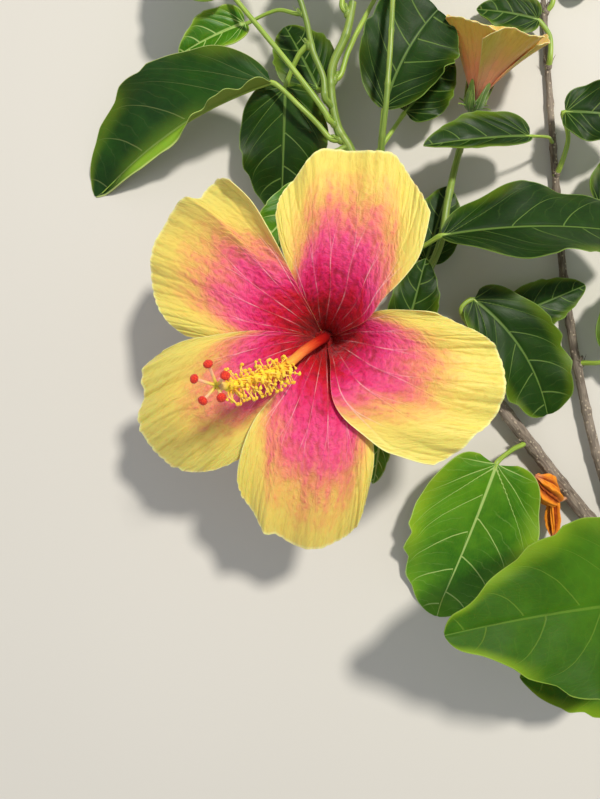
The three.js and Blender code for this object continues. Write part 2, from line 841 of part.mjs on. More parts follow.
// The second bloom: a half-open funnel of five petals, seen from its side.
function funnel(length, radius, wall) {
  const outer = [
    [1.6, 0],
    [3.4, length * 0.16],
    [radius * 0.34, length * 0.38],
    [radius * 0.6, length * 0.65],
    [radius, length],
  ];
  const inner = [
    [radius - wall, length],
    [radius * 0.6 - wall, length * 0.67],
    [radius * 0.34 - wall, length * 0.42],
    [0, length * 0.24],
  ];
  const profile = [[0, 0], ...outer, ...inner].map(([x, y]) => new THREE.Vector2(x, y));
  return reshape(new THREE.LatheGeometry(profile, 25), (point) => {
    const turn = Math.atan2(point.z, point.x);
    const share = (Math.hypot(point.x, point.z) / radius) ** 2;
    const lobe = Math.cos(5 * turn);
    const swell = 1 + 0.06 * share * lobe;
    return point.set(point.x * swell, point.y + share * 2.6 * lobe, point.z * swell);
  });
}

addMesh(
  "second_bloom_petals",
  stand(
    funnel(YOUNG_LENGTH, YOUNG_RADIUS, YOUNG_WALL),
    YOUNG_FOOT.clone().addScaledVector(YOUNG_AXIS, YOUNG_SEAT),
    YOUNG_AXIS,
  ),
  petalPeach,
);
addMesh(
  "second_bloom_calyx",
  stand(
    calyx({
      length: 12,
      radius: 6.6,
      floor: 4.2,
      cup: 2.6,
      wall: 0.8,
      lobes: 2,
      bracts: 6,
      bractLength: 6,
      sides: 15,
    }),
    YOUNG_FOOT,
    YOUNG_AXIS,
  ),
  stemGreen,
);

// A closed bud at the end of its stalk: a furled cone that stands out of its calyx.
function bud(length, radius) {
  const profile = [
    [0, 0],
    [radius * 0.5, 0.3],
    [radius, length * 0.18],
    [radius * 0.95, length * 0.45],
    [radius * 0.75, length * 0.7],
    [radius * 0.4, length * 0.92],
    [0, length],
  ].map(([x, y]) => new THREE.Vector2(x, y));
  return new THREE.LatheGeometry(profile, 10);
}

const budEnd = budStalk.curve.getPointAt(1);
const budAxis = budStalk.curve.getTangentAt(1);
addMesh(
  "closed_bud",
  stand(bud(BUD_LENGTH, BUD_RADIUS), budEnd.clone().addScaledVector(budAxis, GAP), budAxis),
  stemGreen,
);

// The withered bloom: two twisted, shrunken cones on a short stalk.
const witherSeat = seatedPath(mainStem, [116.5, -70, 5.5], [[108.4, -71.7, 9.5]]);

function withered(length, radius) {
  const profile = [
    [0, 0],
    [radius * 0.45, 0],
    [radius * 0.7, length * 0.12],
    [radius * 0.9, length * 0.3],
    [radius, length * 0.55],
    [radius * 0.75, length * 0.8],
    [radius * 0.3, length * 0.96],
    [0, length],
  ].map(([x, y]) => new THREE.Vector2(x, y));
  return reshape(new THREE.LatheGeometry(profile, 15), (point) => {
    const turn = Math.atan2(point.z, point.x);
    const twist = (point.y / length) * WITHERED_TWIST;
    const crease = 1 + 0.22 * Math.cos(5 * turn + twist * 2);
    return point.set(point.x * crease, point.y, point.z * crease);
  });
}

const witherStalk = new THREE.CatmullRomCurve3(witherSeat.map(vector));
const witherFoot = (axis) => witherStalk.getPointAt(1).addScaledVector(axis, -WITHERED_SUNK);
addMesh(
  "withered_bloom",
  join([
    rod(witherStalk, 0, 1, () => WITHERED_STALK, 5, 5),
    stand(withered(FLAP_LENGTH, FLAP_RADIUS), witherFoot(FLAP_AXIS), FLAP_AXIS),
    stand(withered(ROLL_LENGTH, ROLL_RADIUS), witherFoot(ROLL_AXIS), ROLL_AXIS),
  ]),
  witheredOrange,
);

branch.position.copy(BLOOM_AXIS);

export default branch;
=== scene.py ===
import json
import math

import bmesh
import bpy
import numpy as np
from mathutils import Matrix, Vector, noise


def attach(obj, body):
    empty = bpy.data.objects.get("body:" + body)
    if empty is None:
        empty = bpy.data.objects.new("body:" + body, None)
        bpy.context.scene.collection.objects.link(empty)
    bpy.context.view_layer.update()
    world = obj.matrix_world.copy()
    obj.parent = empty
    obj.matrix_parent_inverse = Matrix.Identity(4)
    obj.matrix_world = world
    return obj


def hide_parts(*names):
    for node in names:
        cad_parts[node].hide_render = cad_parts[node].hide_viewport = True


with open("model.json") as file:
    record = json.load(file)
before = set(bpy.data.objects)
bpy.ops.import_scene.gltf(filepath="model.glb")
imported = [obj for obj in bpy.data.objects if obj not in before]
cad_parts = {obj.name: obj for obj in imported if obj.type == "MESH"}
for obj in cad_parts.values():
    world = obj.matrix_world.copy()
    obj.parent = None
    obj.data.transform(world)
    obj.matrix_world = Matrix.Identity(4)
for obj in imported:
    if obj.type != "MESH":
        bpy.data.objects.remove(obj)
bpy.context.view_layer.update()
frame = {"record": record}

# The picture looks straight down on the branch, which lies on a plain pale floor under soft light
# from the upper right. Lengths are millimetres from the point of the floor under the open bloom's
# axis, and each mesh is turned to metres in the frame when it is finished.
MM = 0.001
BLOOM_AXIS = Vector((-27.7, -20, 0))
EYE = Vector((-10.1, -24.9, 320))
VIEW_ANGLE = math.radians(61.86)  # over the picture's height
SUN_WAY = Vector((0.31, 0.37, 0.88)).normalized()
SUN_DISTANCE = 1400
SUN_SIZE = 150
SUN_WATTS = 19
FILL_PLACE = Vector((-700, -300, 900))
FILL_SIZE = 900
FILL_WATTS = 2
SKY_COLOUR = (0.93, 0.96, 1.0, 1.0)
SKY_STRENGTH = 0.40
FLOOR_HALF = 2500
TO_FRAME = Matrix.Scale(MM, 4) @ Matrix.Translation(BLOOM_AXIS)


def colour(code):
    """The linear colour of a six-digit hex code."""
    shares = [int(code[i:i + 2], 16) / 255 for i in (1, 3, 5)]
    return (*[c / 12.92 if c <= 0.04045 else ((c + 0.055) / 1.055) ** 2.4 for c in shares], 1.0)


def reckoned(operation, turned=False):
    """An operator that adds a node for its sum, with the two values turned round where asked."""
    def method(self, other):
        return self.finish.calc(operation, *((other, self) if turned else (self, other)))
    return method


class Signal:
    """The output of a material's node, which can be reckoned with like a number."""

    __add__ = __radd__ = reckoned("ADD")
    __mul__ = __rmul__ = reckoned("MULTIPLY")
    __sub__, __rsub__ = reckoned("SUBTRACT"), reckoned("SUBTRACT", True)
    __truediv__ = reckoned("DIVIDE")

    def __init__(self, finish, socket):
        self.finish, self.socket = finish, socket

    def __abs__(self):
        return self.finish.calc("ABSOLUTE", self)


class Finish:
    """A material that is built node by node. Each method adds one node and gives its output."""

    def __init__(self, name, **constants):
        self.material = bpy.data.materials.new(name)
        self.material.use_nodes = True
        self.tree = self.material.node_tree
        self.shader = self.tree.nodes["Principled BSDF"]
        for socket, value in constants.items():
            self.shader.inputs[socket.replace("_", " ")].default_value = value

    def node(self, kind, values, output=0, **settings):
        node = self.tree.nodes.new("ShaderNode" + kind)
        for setting, value in settings.items():
            setattr(node, setting, value)
        for key, value in values.items():
            self.feed(node.inputs[key], value)
        return Signal(self, node.outputs[output])

    def feed(self, socket, value):
        """Links a signal to a socket, or sets the socket to a number, a vector or a hex colour."""
        if isinstance(value, Signal):
            self.tree.links.new(value.socket, socket)
        else:
            socket.default_value = colour(value) if isinstance(value, str) else value

    def place(self):
        return self.node("TexCoord", {}, output=3)

    def grain(self):
        return self.node("Attribute", {}, output=1, attribute_name="grain")

    def underside(self):
        return self.node("Attribute", {}, output=2, attribute_name="underside")

    def parts(self, vector):
        first = self.node("SeparateXYZ", {0: vector})
        return [Signal(self, output) for output in first.socket.node.outputs]

    def calc(self, operation, *values):
        return self.node("Math", dict(enumerate(values)), operation=operation)

    def from_middle(self, value):
        """How far each whole step of a value is from its middle."""
        return abs(self.calc("FRACT", value) - 0.5)

    def fade(self, value, start, end, low=0.0, high=1.0):
        """A smooth step. It falls from 1 to 0 where the end is below the start."""
        values = {"Value": value, "From Min": start, "From Max": end, "To Min": low, "To Max": high}
        return self.node("MapRange", values, interpolation_type="SMOOTHSTEP")

    def noise(self, vector, scale, detail=2.0, stretch=(1, 1, 1)):
        spread = self.node("Mapping", {"Vector": vector, "Scale": stretch})
        return self.node("TexNoise", {"Vector": spread, "Scale": scale, "Detail": detail})

    def cells(self, vector, scale, feature="DISTANCE_TO_EDGE", stretch=(1, 1, 1)):
        spread = self.node("Mapping", {"Vector": vector, "Scale": stretch})
        return self.node("TexVoronoi", {"Vector": spread, "Scale": scale}, feature=feature)

    def mix(self, factor, first, second, blend="MIX"):
        values = {0: factor, 6: first, 7: second}
        return self.node("Mix", values, output=2, data_type="RGBA", blend_type=blend)

    def ramp(self, value, stops):
        level = self.node("ValToRGB", {0: value})
        elements = level.socket.node.color_ramp.elements
        elements.remove(elements[1])
        elements[0].position, elements[0].color = stops[0][0], colour(stops[0][1])
        for share, code in stops[1:]:
            elements.new(share).color = colour(code)
        return level

    def bump(self, height, depth):
        return self.node("Bump", {"Height": height, "Distance": depth * MM})

    def use(self, base, normal=None, roughness=None):
        self.feed(self.shader.inputs["Base Color"], base)
        if normal:
            self.feed(self.shader.inputs["Normal"], normal)
        if roughness:
            self.feed(self.shader.inputs["Roughness"], roughness)
        return self.material


def aim(holder, place, target):
    holder.location = TO_FRAME @ place
    holder.rotation_euler = (target - place).to_track_quat("-Z", "Y").to_euler()
    bpy.context.scene.collection.objects.link(holder)


camera_data = bpy.data.cameras.new("camera")
camera_data.sensor_fit = "VERTICAL"
camera_data.lens = camera_data.sensor_height / 2 / math.tan(VIEW_ANGLE / 2)
camera_data.clip_start = 0.01
camera = bpy.data.objects.new("camera", camera_data)
camera.location = TO_FRAME @ EYE
bpy.context.scene.collection.objects.link(camera)
bpy.context.scene.camera = camera


def area_light(name, place, size, watts, tint):
    data = bpy.data.lights.new(name, "AREA")
    data.shape = "DISK"
    data.size = size * MM
    data.energy = watts
    data.color = tint
    aim(bpy.data.objects.new(name, data), place, Vector((0, 0, 40)))


area_light("key_light", SUN_WAY * SUN_DISTANCE, SUN_SIZE, SUN_WATTS, (1.0, 0.96, 0.88))
area_light("fill_light", FILL_PLACE, FILL_SIZE, FILL_WATTS, (0.9, 0.95, 1.0))
world = bpy.data.worlds.new("studio")
world.use_nodes = True
world.node_tree.nodes["Background"].inputs["Color"].default_value = SKY_COLOUR
world.node_tree.nodes["Background"].inputs["Strength"].default_value = SKY_STRENGTH
bpy.context.scene.world = world
bpy.context.scene.view_settings.view_transform = "Standard"

floor_mesh = bpy.data.meshes.new("floor")
floor_form = bmesh.new()
bmesh.ops.create_grid(floor_form, x_segments=1, y_segments=1, size=FLOOR_HALF * MM)
floor_form.to_mesh(floor_mesh)
floor_form.free()
floor = bpy.data.objects.new("floor", floor_mesh)
bpy.context.scene.collection.objects.link(floor)
pale = Finish("floor_paper", Roughness=0.85)
paper = pale.mix(pale.noise(pale.place(), 3), "#c9c5bd", "#d2cec6")
floor_mesh.materials.append(pale.use(paper))


# The main stem is woody and grey-brown from its cut end to the bloom and green towards its tip. A
# long woody bough and three green shoots leave it. Real ones are round, taper, swell a little where
# each leaf grew, and carry corky specks along the bark.
BARK_CELLS = 26  # sides of a woody stem's mesh
WOODY_END = 0.73  # share of the main stem that is bark
NODE_PITCH = 21  # between one leaf's scar and the next
UP = np.array([0.0, 0.0, 1.0])
ANY_WAY = np.array([0.31, 0.17, 0.93])  # along no stem, to start a tube's sides from


def smooth(value, low, high):
    share = np.clip((value - low) / (high - low), 0, 1)
    return share * share * (3 - 2 * share)


def unit(vectors):
    vectors = np.asarray(vectors, float)
    return vectors / np.linalg.norm(vectors, axis=-1, keepdims=True)


def lumps(points, scale, seed=0.0):
    """Smooth noise from -1 to 1 at many points."""
    return np.array([noise.noise(Vector(point) * scale + Vector((seed, seed, seed))) for point in points])


class Line:
    """A smooth curve through a few points, measured by shares of its length. A power of 0.5 gives a
    centripetal curve in space, and 0 a uniform one, for outlines in plan."""

    def __init__(self, points, power=0.5, per_span=40):
        knots = np.array([tuple(point) for point in points], float)
        before = 2 * knots[0] - knots[1] if power else knots[0]
        after = 2 * knots[-1] - knots[-2] if power else knots[-1]
        chain = np.vstack([before, knots, after])
        u = np.linspace(0, 1, per_span, endpoint=False)[:, None]
        spans = []
        for a, b, c, d in zip(chain, chain[1:], chain[2:], chain[3:]):
            ab, bc, cd = [np.linalg.norm(end - start) ** power for start, end in ((a, b), (b, c), (c, d))]
            leave = ((b - a) / ab - (c - a) / (ab + bc) + (c - b) / bc) * bc
            arrive = ((c - b) / bc - (d - b) / (bc + cd) + (d - c) / cd) * bc
            curve = (2 * u ** 3 - 3 * u ** 2 + 1) * b + (u ** 3 - 2 * u ** 2 + u) * leave
            spans.append(curve + (3 * u ** 2 - 2 * u ** 3) * c + (u ** 3 - u ** 2) * arrive)
        self.points = np.vstack([*spans, knots[-1:]])
        steps = np.linalg.norm(np.diff(self.points, axis=0), axis=1)
        self.length = steps.sum()
        self.shares = np.concatenate([[0], np.cumsum(steps)]) / self.length

    def at(self, share):
        return np.stack([np.interp(share, self.shares, axis) for axis in self.points.T], axis=-1)

    def along(self, share, step=0.004):
        share = np.asarray(share, float)
        return unit(self.at(np.clip(share + step, 0, 1)) - self.at(np.clip(share - step, 0, 1)))

    def nearest(self, point):
        return self.shares[np.argmin(np.linalg.norm(self.points - np.array(point), axis=1))]


class Stem(Line):
    """A round stem that thins evenly from its foot to its tip."""

    def __init__(self, points, foot_radius, tip_radius):
        super().__init__(points)
        self.foot_radius = foot_radius
        self.tip_radius = tip_radius

    def radius(self, share):
        return self.foot_radius + (self.tip_radius - self.foot_radius) * share

    def seat(self, near, target):
        """Where a side piece that heads for a point leaves this stem: its foot, the way straight out
        of the stem there, the stem's own way, and how far the side piece leans along it."""
        share = self.nearest(near)
        centre, along = self.at(share), self.along(share)
        way = unit(np.array(target) - centre)
        lean = way.dot(along)
        out = unit(way - along * lean)
        return centre + out * (self.radius(share) + GAP), out, along, lean

    def seated_path(self, near, points, lead=3):
        """Points of a side piece that grows out of this stem at a slant, towards its first point."""
        foot, out, along, lean = self.seat(near, points[0])
        slant = out + along * lean
        return [foot - slant * self.radius(self.nearest(near)), foot, foot + slant * lead * 0.7, *points]


def upright(foot, axis, made_along=(0, 0, 1)):
    """The matrix that stands a form on a foot along an axis."""
    turned = Vector(made_along).rotation_difference(Vector(axis)).to_matrix().to_4x4()
    return Matrix.Translation(Vector(foot)) @ turned


def new_form():
    form = bmesh.new()
    form.loops.layers.uv.new("UVMap")
    form.verts.layers.float_vector.new("grain")
    form.verts.layers.float.new("underside")
    return form


def add_grid(form, place, across, along):
    """Adds a grid and moves it to where place() puts u and v, which run from 0 to 1. It also gives
    each point's grain, the coordinates that the finish follows."""
    made = bmesh.ops.create_grid(form, x_segments=across, y_segments=along, size=0.5, calc_uvs=True)
    flat = np.array([vert.co[:2] for vert in made["verts"]]) + 0.5
    points, grains = place(flat[:, 0], flat[:, 1])
    layer = form.verts.layers.float_vector["grain"]
    for vert, point, grain in zip(made["verts"], points, grains):
        vert.co = point
        vert[layer] = grain
    return made["verts"]


def add_tube(form, line, radius, sides, steps, start=0.0, end=1.0, crowding=1.0, relief=None):
    """Rolls a grid into a closed rod along a line. Its grain is the straight rod that it was."""
    shares = start + (end - start) * np.linspace(0, 1, steps + 1) ** crowding
    centres, ways = line.at(shares), line.along(shares)
    across = ANY_WAY
    rows = []
    for way in ways:
        across = unit(across - way * across.dot(way))
        rows.append(across)
    across = np.array(rows)
    beside = np.cross(across, ways)
    radii = radius(shares) * np.ones(steps + 1)

    def place(u, v):
        ring = np.rint(v * steps).astype(int)
        turn = 2 * np.pi * u
        cos, sin, thick = np.cos(turn), np.sin(turn), radii[ring]
        straight = np.stack([cos * thick, sin * thick, shares[ring] * line.length], axis=1)
        out = across[ring] * cos[:, None] + beside[ring] * sin[:, None]
        reach = thick + (relief(straight) if relief else 0)
        point = centres[ring] + out * reach[:, None]
        point[:, 2] = np.maximum(point[:, 2], 0)
        return point, straight

    verts = add_grid(form, place, sides, steps)
    close_up(form, verts)


def close_up(form, verts):
    """Merges the seam of a rolled grid, caps its open ends and turns its faces outwards."""
    faces = list({face for vert in verts for face in vert.link_faces})
    bmesh.ops.remove_doubles(form, verts=verts, dist=1e-4)
    faces = [face for face in faces if face.is_valid]
    rim = list({edge for face in faces for edge in face.edges if edge.is_boundary})
    caps = bmesh.ops.holes_fill(form, edges=rim, sides=0)["faces"]
    bmesh.ops.recalc_face_normals(form, faces=faces + caps)


def add_ball(form, centre, axis, radii, subdivisions=3, made_along=(0, 0, 1)):
    """Adds a stretched ball that is turned along an axis. Its grain is its own place."""
    stretched = upright(centre, axis, made_along) @ Matrix.Diagonal((*radii, 1.0))
    ball = bmesh.ops.create_icosphere(form, subdivisions=subdivisions, radius=1.0, matrix=stretched)
    layer = form.verts.layers.float_vector["grain"]
    for vert in ball["verts"]:
        vert[layer] = vert.co
    return ball["verts"]


def thicken(form, thickness):
    """Gives sheets their thickness downwards and marks the new side as their underside."""
    inner = form.verts.layers.float_vector.new("inner")
    form.normal_update()
    for vert in form.verts:
        vert[inner] = vert.co - vert.normal * thickness
    underside = form.verts.layers.float["underside"]
    for item in bmesh.ops.extrude_face_region(form, geom=form.faces[:], use_keep_orig=True)["geom"]:
        if isinstance(item, bmesh.types.BMVert):
            item.co = item[inner]
            item[underside] = 1.0
    form.verts.layers.float_vector.remove(inner)
    bmesh.ops.recalc_face_normals(form, faces=form.faces[:])


def add_piece(form, name, material, slot, *nodes, sharp=50):
    form.transform(TO_FRAME)
    mesh = bpy.data.meshes.new(name)
    form.to_mesh(mesh)
    form.free()
    mesh.shade_smooth()
    mesh.set_sharp_from_angle(angle=math.radians(sharp))
    mesh.materials.append(material)
    piece = bpy.data.objects.new(name, mesh)
    bpy.context.scene.collection.objects.link(piece)
    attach(piece, "root")
    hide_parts(*nodes)
    return piece


def knuckles(straight, first, width):
    """A swelling from 0 to 1 at each leaf's scar."""
    return np.exp(-(((straight[:, 2] + first) % NODE_PITCH - NODE_PITCH / 2) / width) ** 2)


def bark_relief(straight):
    ridges = lumps(straight * (1.3, 1.3, 0.16), 1.0) * 0.10
    specks = np.clip(lumps(straight * (0.9, 0.9, 1.3), 1.0, 7.0) - 0.25, 0, 1)
    return ridges + 0.16 * specks + 0.34 * knuckles(straight, 6, 1.8) + 0.09 * lumps(straight, 0.35, 3.0)


def shoot_relief(straight):
    return 0.22 * knuckles(straight, 3, 1.2) + 0.04 * lumps(straight * (1, 1, 0.2), 1.5)


def bark_finish(name, young, old, green_from):
    """Bark with fine cracks and pale corky specks, which turns green after so many millimetres."""
    bark = Finish(name, Roughness=0.82, Specular_IOR_Level=0.3)
    grain = bark.grain()
    cracks = bark.noise(grain, 1.0, 6, (1.6, 1.6, 0.22))
    specks = bark.fade(bark.cells(grain, 0.55, "F1", (1, 1, 0.8)), 0.30, 0.16)
    patches = bark.noise(bark.place(), 60, 3)
    base = bark.mix(bark.fade(cracks, 0.35, 0.7), old, young)
    base = bark.mix(bark.fade(patches, 0.42, 0.66, 0.0, 0.55), base, "#a79a8c")
    base = bark.mix(specks * 0.7, base, "#c3b49d")
    greening = bark.fade(bark.parts(grain)[2], green_from, green_from + 35)
    base = bark.mix(greening, base, "#6d8434")
    return bark.use(base, bark.bump(cracks + specks * 0.5, 0.35))


def shoot_finish(name, lit, shaded, dull=0.42):
    """The smooth skin of a young stem or stalk: green, streaked lengthwise and slightly glossy."""
    skin = Finish(name, Roughness=dull, Specular_IOR_Level=0.5, Subsurface_Weight=0.12,
                  Subsurface_Scale=0.002)
    grain = skin.grain()
    streaks = skin.noise(grain, 1.0, 4, (2.2, 2.2, 0.10))
    tone = skin.noise(skin.place(), 22, 2)
    base = skin.mix(skin.fade(streaks, 0.3, 0.7), shaded, lit)
    base = skin.mix(skin.fade(tone, 0.35, 0.7, 0.0, 0.5), base, shaded)
    return skin.use(base, skin.bump(streaks, 0.12))


GAP = 0.3  # clearance that the frame keeps where one piece meets the next
YOUNG_FOOT = Vector((69.3, 108, 11.5))
YOUNG_AXIS = Vector((0.175, 0.826, 0.52)).normalized()
main_stem = Stem([
    (158, -115, 3.6), (127, -82, 5), (83.5, -27.5, 8), (50, 14, 12), (22.5, 58.5, 18), (12, 86.5, 24),
    (6.5, 95, 26), (3.5, 117.5, 30), (10, 133, 33), (12.5, 145, 35),
], 3.6, 1.7)
long_bough = Stem(main_stem.seated_path((137, -93, 4.5), [
    (137, -74, 5.2), (127, -39, 5.4), (116, 21.5, 4.6), (111.5, 77, 3.4), (108, 132, 2.4),
    (106, 166, 1.7),
], 6), 2.4, 1.2)
side_shoot = Stem(main_stem.seated_path((42.5, 26, 13), [
    (54, 46, 14.5), (57.5, 66, 15), (62.5, 86, 11.5), YOUNG_FOOT - YOUNG_AXIS * 8, YOUNG_FOOT,
], 4), 1.9, 1.5)
left_shoot = Stem(main_stem.seated_path((5.3, 105, 27.8), [
    (0, 114, 32), (-4.5, 125, 33), (-7.5, 138, 34), (-11.5, 150, 36), (-16, 162, 38),
]), 1.45, 1.1)
bud_stalk = Stem(main_stem.seated_path((19, 66, 20), [
    (25, 76, 29), (25, 86, 35), (26, 100, 41), (27.5, 125, 44), (28.5, 146, 44),
], 4), 1.4, 1.05)

bark = bark_finish("bark_grey", "#8d8072", "#5d5247", 205)
shoot = shoot_finish("shoot_skin", "#9fb24a", "#62802c")
form = new_form()
add_tube(form, main_stem, main_stem.radius, BARK_CELLS, 280, 0.0, WOODY_END, relief=bark_relief)
add_piece(form, "main_stem_bark", bark, "bark", "stem_cut_end", "stem_lower", "stem_middle")
form = new_form()
add_tube(form, main_stem, main_stem.radius, 20, 130, WOODY_END, 1.0, relief=shoot_relief)
add_piece(form, "main_stem_shoot", shoot, "stem_green", "stem_upper", "stem_tip")
form = new_form()
add_tube(form, long_bough, long_bough.radius, 22, 300, crowding=1.3, relief=bark_relief)
add_piece(form, "long_bough_bark", bark_finish("bark_bough", "#857a6c", "#574d43", 1000), "bark",
          "bough_lower", "bough_upper")
for node, stem in {"side_shoot": side_shoot, "left_shoot": left_shoot, "bud_stalk": bud_stalk}.items():
    form = new_form()
    add_tube(form, stem, stem.radius, 16, 110, crowding=1.3, relief=shoot_relief)
    add_piece(form, node + "_skin", shoot, "stem_green", node)

# The cut end shows pale wood inside a thin ring of bark.
CUT_THICKNESS = 0.25
WOOD_SHARE = 0.86  # of the stem's radius
wood = Finish("cut_wood", Roughness=0.8)
rings = wood.noise(wood.grain(), 2.2, 5)
form = new_form()
cut_face = main_stem.at(0)
cut_line = Line([cut_face - main_stem.along(0) * CUT_THICKNESS, cut_face, main_stem.at(0.004)])
add_tube(form, cut_line, lambda share: main_stem.foot_radius * WOOD_SHARE, 32, 3, 0.0, 0.4)
pale_wood = wood.use(wood.mix(rings, "#cdb98c", "#a98f5f"))
add_piece(form, "cut_end_wood", pale_wood, "bark", "stem_cut_end")


# The leaves. Each is an ovate, toothed blade, glossy and dark above and paler below, on an arched
# midrib that grows on from its stalk. Its side veins spread from the base like a hand's fingers and
# leave the midrib in pairs further up, and the blade bulges a little between them.
LEAF_THICKNESS = 0.9  # of the frame's solid
BLADE_THICKNESS = 0.32
BLADE_START = 0.01
BLADE_END = 0.998
OVATE = (0.45, 0.75)  # powers of a blade's outline towards its base and its tip
NARROW = (0.65, 0.8)
MARGIN_WAVES = 2.3
TEETH = 9
TOOTH_DEPTH = 0.06
TOOTH_FROM = 0.35
HEART = 0.2  # how far the blade's lobes reach back past its base, in half widths
SIDE_VEINS = 4
BASAL_VEINS = 2.4
BULGE = 0.34
CURL_FROM = 0.5  # share of a half blade where a curled margin starts to roll
UPTURNED_UNTIL = (0.28, 0.55)  # shares of the length where an upturned margin comes down
BLADE_GRID = (38, 88)
STALK_RADIUS = 1.3
SLOT_OF = {part["node"]: part["material_slot"] for part in frame["record"]["subparts"]}


class Leaf:
    """A blade on a midrib that arches upwards and bows sideways. Roll tilts it about the midrib, slim
    is the width of its one half as a share of the other's, a curl turns one margin up by so many
    degrees, upturned is how high the slim half stands near the stalk, blunt is the tip's radius, and
    toothed is the depth of its teeth beside the others'."""

    def __init__(self, base, tip, half_width, arch=8, bow=0, roll=0, fold=0.15, wave=2, powers=OVATE,
                 heart=HEART, slim=1, curl=0, upturned=0, blunt=0, toothed=1, stalk=STALK_RADIUS):
        self.base, self.tip = np.array(base, float), np.array(tip, float)
        sideways = unit(np.cross(UP, self.tip - self.base))
        self.middle = (self.base + self.tip) / 2 + UP * arch + sideways * bow
        self.half_width, self.powers, self.heart, self.stalk = half_width, powers, heart, stalk
        self.roll, self.fold, self.wave, self.slim = math.radians(roll), fold, wave, slim
        self.curl, self.upturned, self.blunt, self.toothed = math.radians(curl), upturned, blunt, toothed
        self.length = np.linalg.norm(self.tip - self.base)

    def midrib(self, share):
        a = np.asarray(share, float)[..., None]
        point = (1 - a) ** 2 * self.base + 2 * a * (1 - a) * self.middle + a ** 2 * self.tip
        way = unit((1 - a) * (self.middle - self.base) + a * (self.tip - self.middle))
        return point, way

    def width(self, t, share):
        foot, end = self.powers
        peak = foot / (foot + end)
        width = self.half_width * (share / peak) ** foot * ((1 - share) / (1 - peak)) ** end
        from_tip = (1 - share) * self.length
        width = width + np.sqrt(2 * self.blunt * from_tip) * np.exp(-(from_tip / 7) ** 2)
        return width * np.where(t < 0, self.slim, 1)

    def vein(self, t, share):
        """Counts the side veins from the first strong pair, which leave the base itself: whole numbers
        lie on a vein, those above 0 leave the midrib and those below 0 fan out under the first. The
        second array is the veins per millimetre."""
        reach = np.maximum(0.36 * np.abs(t) + 0.16 * t * t, 0.01)
        above = np.maximum(share - reach, 0) / (1 - reach)
        upper = above * SIDE_VEINS + 0.32 * smooth(above, 0, 0.25) * np.where(t > 0, 1, -1)
        basal = smooth(reach - share, -0.05, 0.05)
        per_share = (1 - basal) * SIDE_VEINS / (1 - reach) + basal * BASAL_VEINS / reach
        return np.where(share >= reach, upper, (share / reach - 1) * BASAL_VEINS), per_share / self.length

    def curled(self, t, share, width):
        """How far a curled margin draws in and how far it rises."""
        rolled = np.clip(t - CURL_FROM, 0, 1) * width
        tight = self.curl / ((1 - CURL_FROM) * self.half_width)
        tight = tight * smooth(share, 0, 0.15) * (1 - smooth(share, 0.5, 0.85)) + 1e-4
        return rolled - np.sin(tight * rolled) / tight, (1 - np.cos(tight * rolled)) / tight

    def place(self, u, v):
        """Points of the blade, and their grain: millimetres from the midrib, place among the side
        veins, and veins per millimetre."""
        t = 2 * u - 1
        share = BLADE_START + (BLADE_END - BLADE_START) * v
        point, along = self.midrib(share)
        side = unit(np.cross(along, UP))
        side = side * math.cos(self.roll) + np.cross(along, side) * math.sin(self.roll)
        normal = np.cross(side, along)
        width = self.width(t, share)
        tooth = (share * TEETH * (1 - 0.25 * share) + np.where(t > 0, 0.0, 0.4)) % 1
        tooth = np.minimum(tooth / 0.72, (1 - tooth) / 0.28) - 0.5
        tooth = self.toothed * TOOTH_DEPTH * tooth * smooth(share, TOOTH_FROM, TOOTH_FROM + 0.15)
        ripple = 0.012 * np.sin(share * 31 + t * 2) * np.abs(t) ** 4
        margin_wave = np.sin(2 * np.pi * MARGIN_WAVES * share + np.where(t > 0, 0, 1.9))
        waved = self.wave * t * t * margin_wave
        lift = self.fold * np.abs(t) * width + waved * width / self.half_width
        vein, density = self.vein(t, share)
        between = np.sin(np.pi * vein) ** 2
        within = smooth(np.abs(t), 0.03, 0.2) * smooth(1 - np.abs(t), 0, 0.25)
        lift = lift + BULGE * (between - 0.7) * within
        lift = lift - 0.35 * np.exp(-(t * width / 0.9) ** 2)
        standing = np.where(t < 0, np.sign(self.upturned) * (1 - smooth(share, *UPTURNED_UNTIL)), 0)
        wavy = 1 + 0.28 * np.sin(share * 34) + 0.12 * np.sin(share * 71)
        lift = lift + self.upturned * standing * np.abs(t) * smooth(share, 0, 0.08) * wavy
        width = width * (1 - 0.8 * standing)
        drawn_in, risen = self.curled(t, share, width)
        across = t * width * (1 + tooth * np.abs(t) ** 7 + ripple) - drawn_in
        back = self.heart * width * np.abs(t) ** 1.6 * smooth(1 - share / 0.22, 0, 1)
        point = point + side * across[:, None] + normal * (lift + risen)[:, None] - along * back[:, None]
        point[:, 2] = np.maximum(point[:, 2], LEAF_THICKNESS / 2 + 0.15 * (between - 0.5))
        return point, np.stack([t * width, vein, density], axis=1)


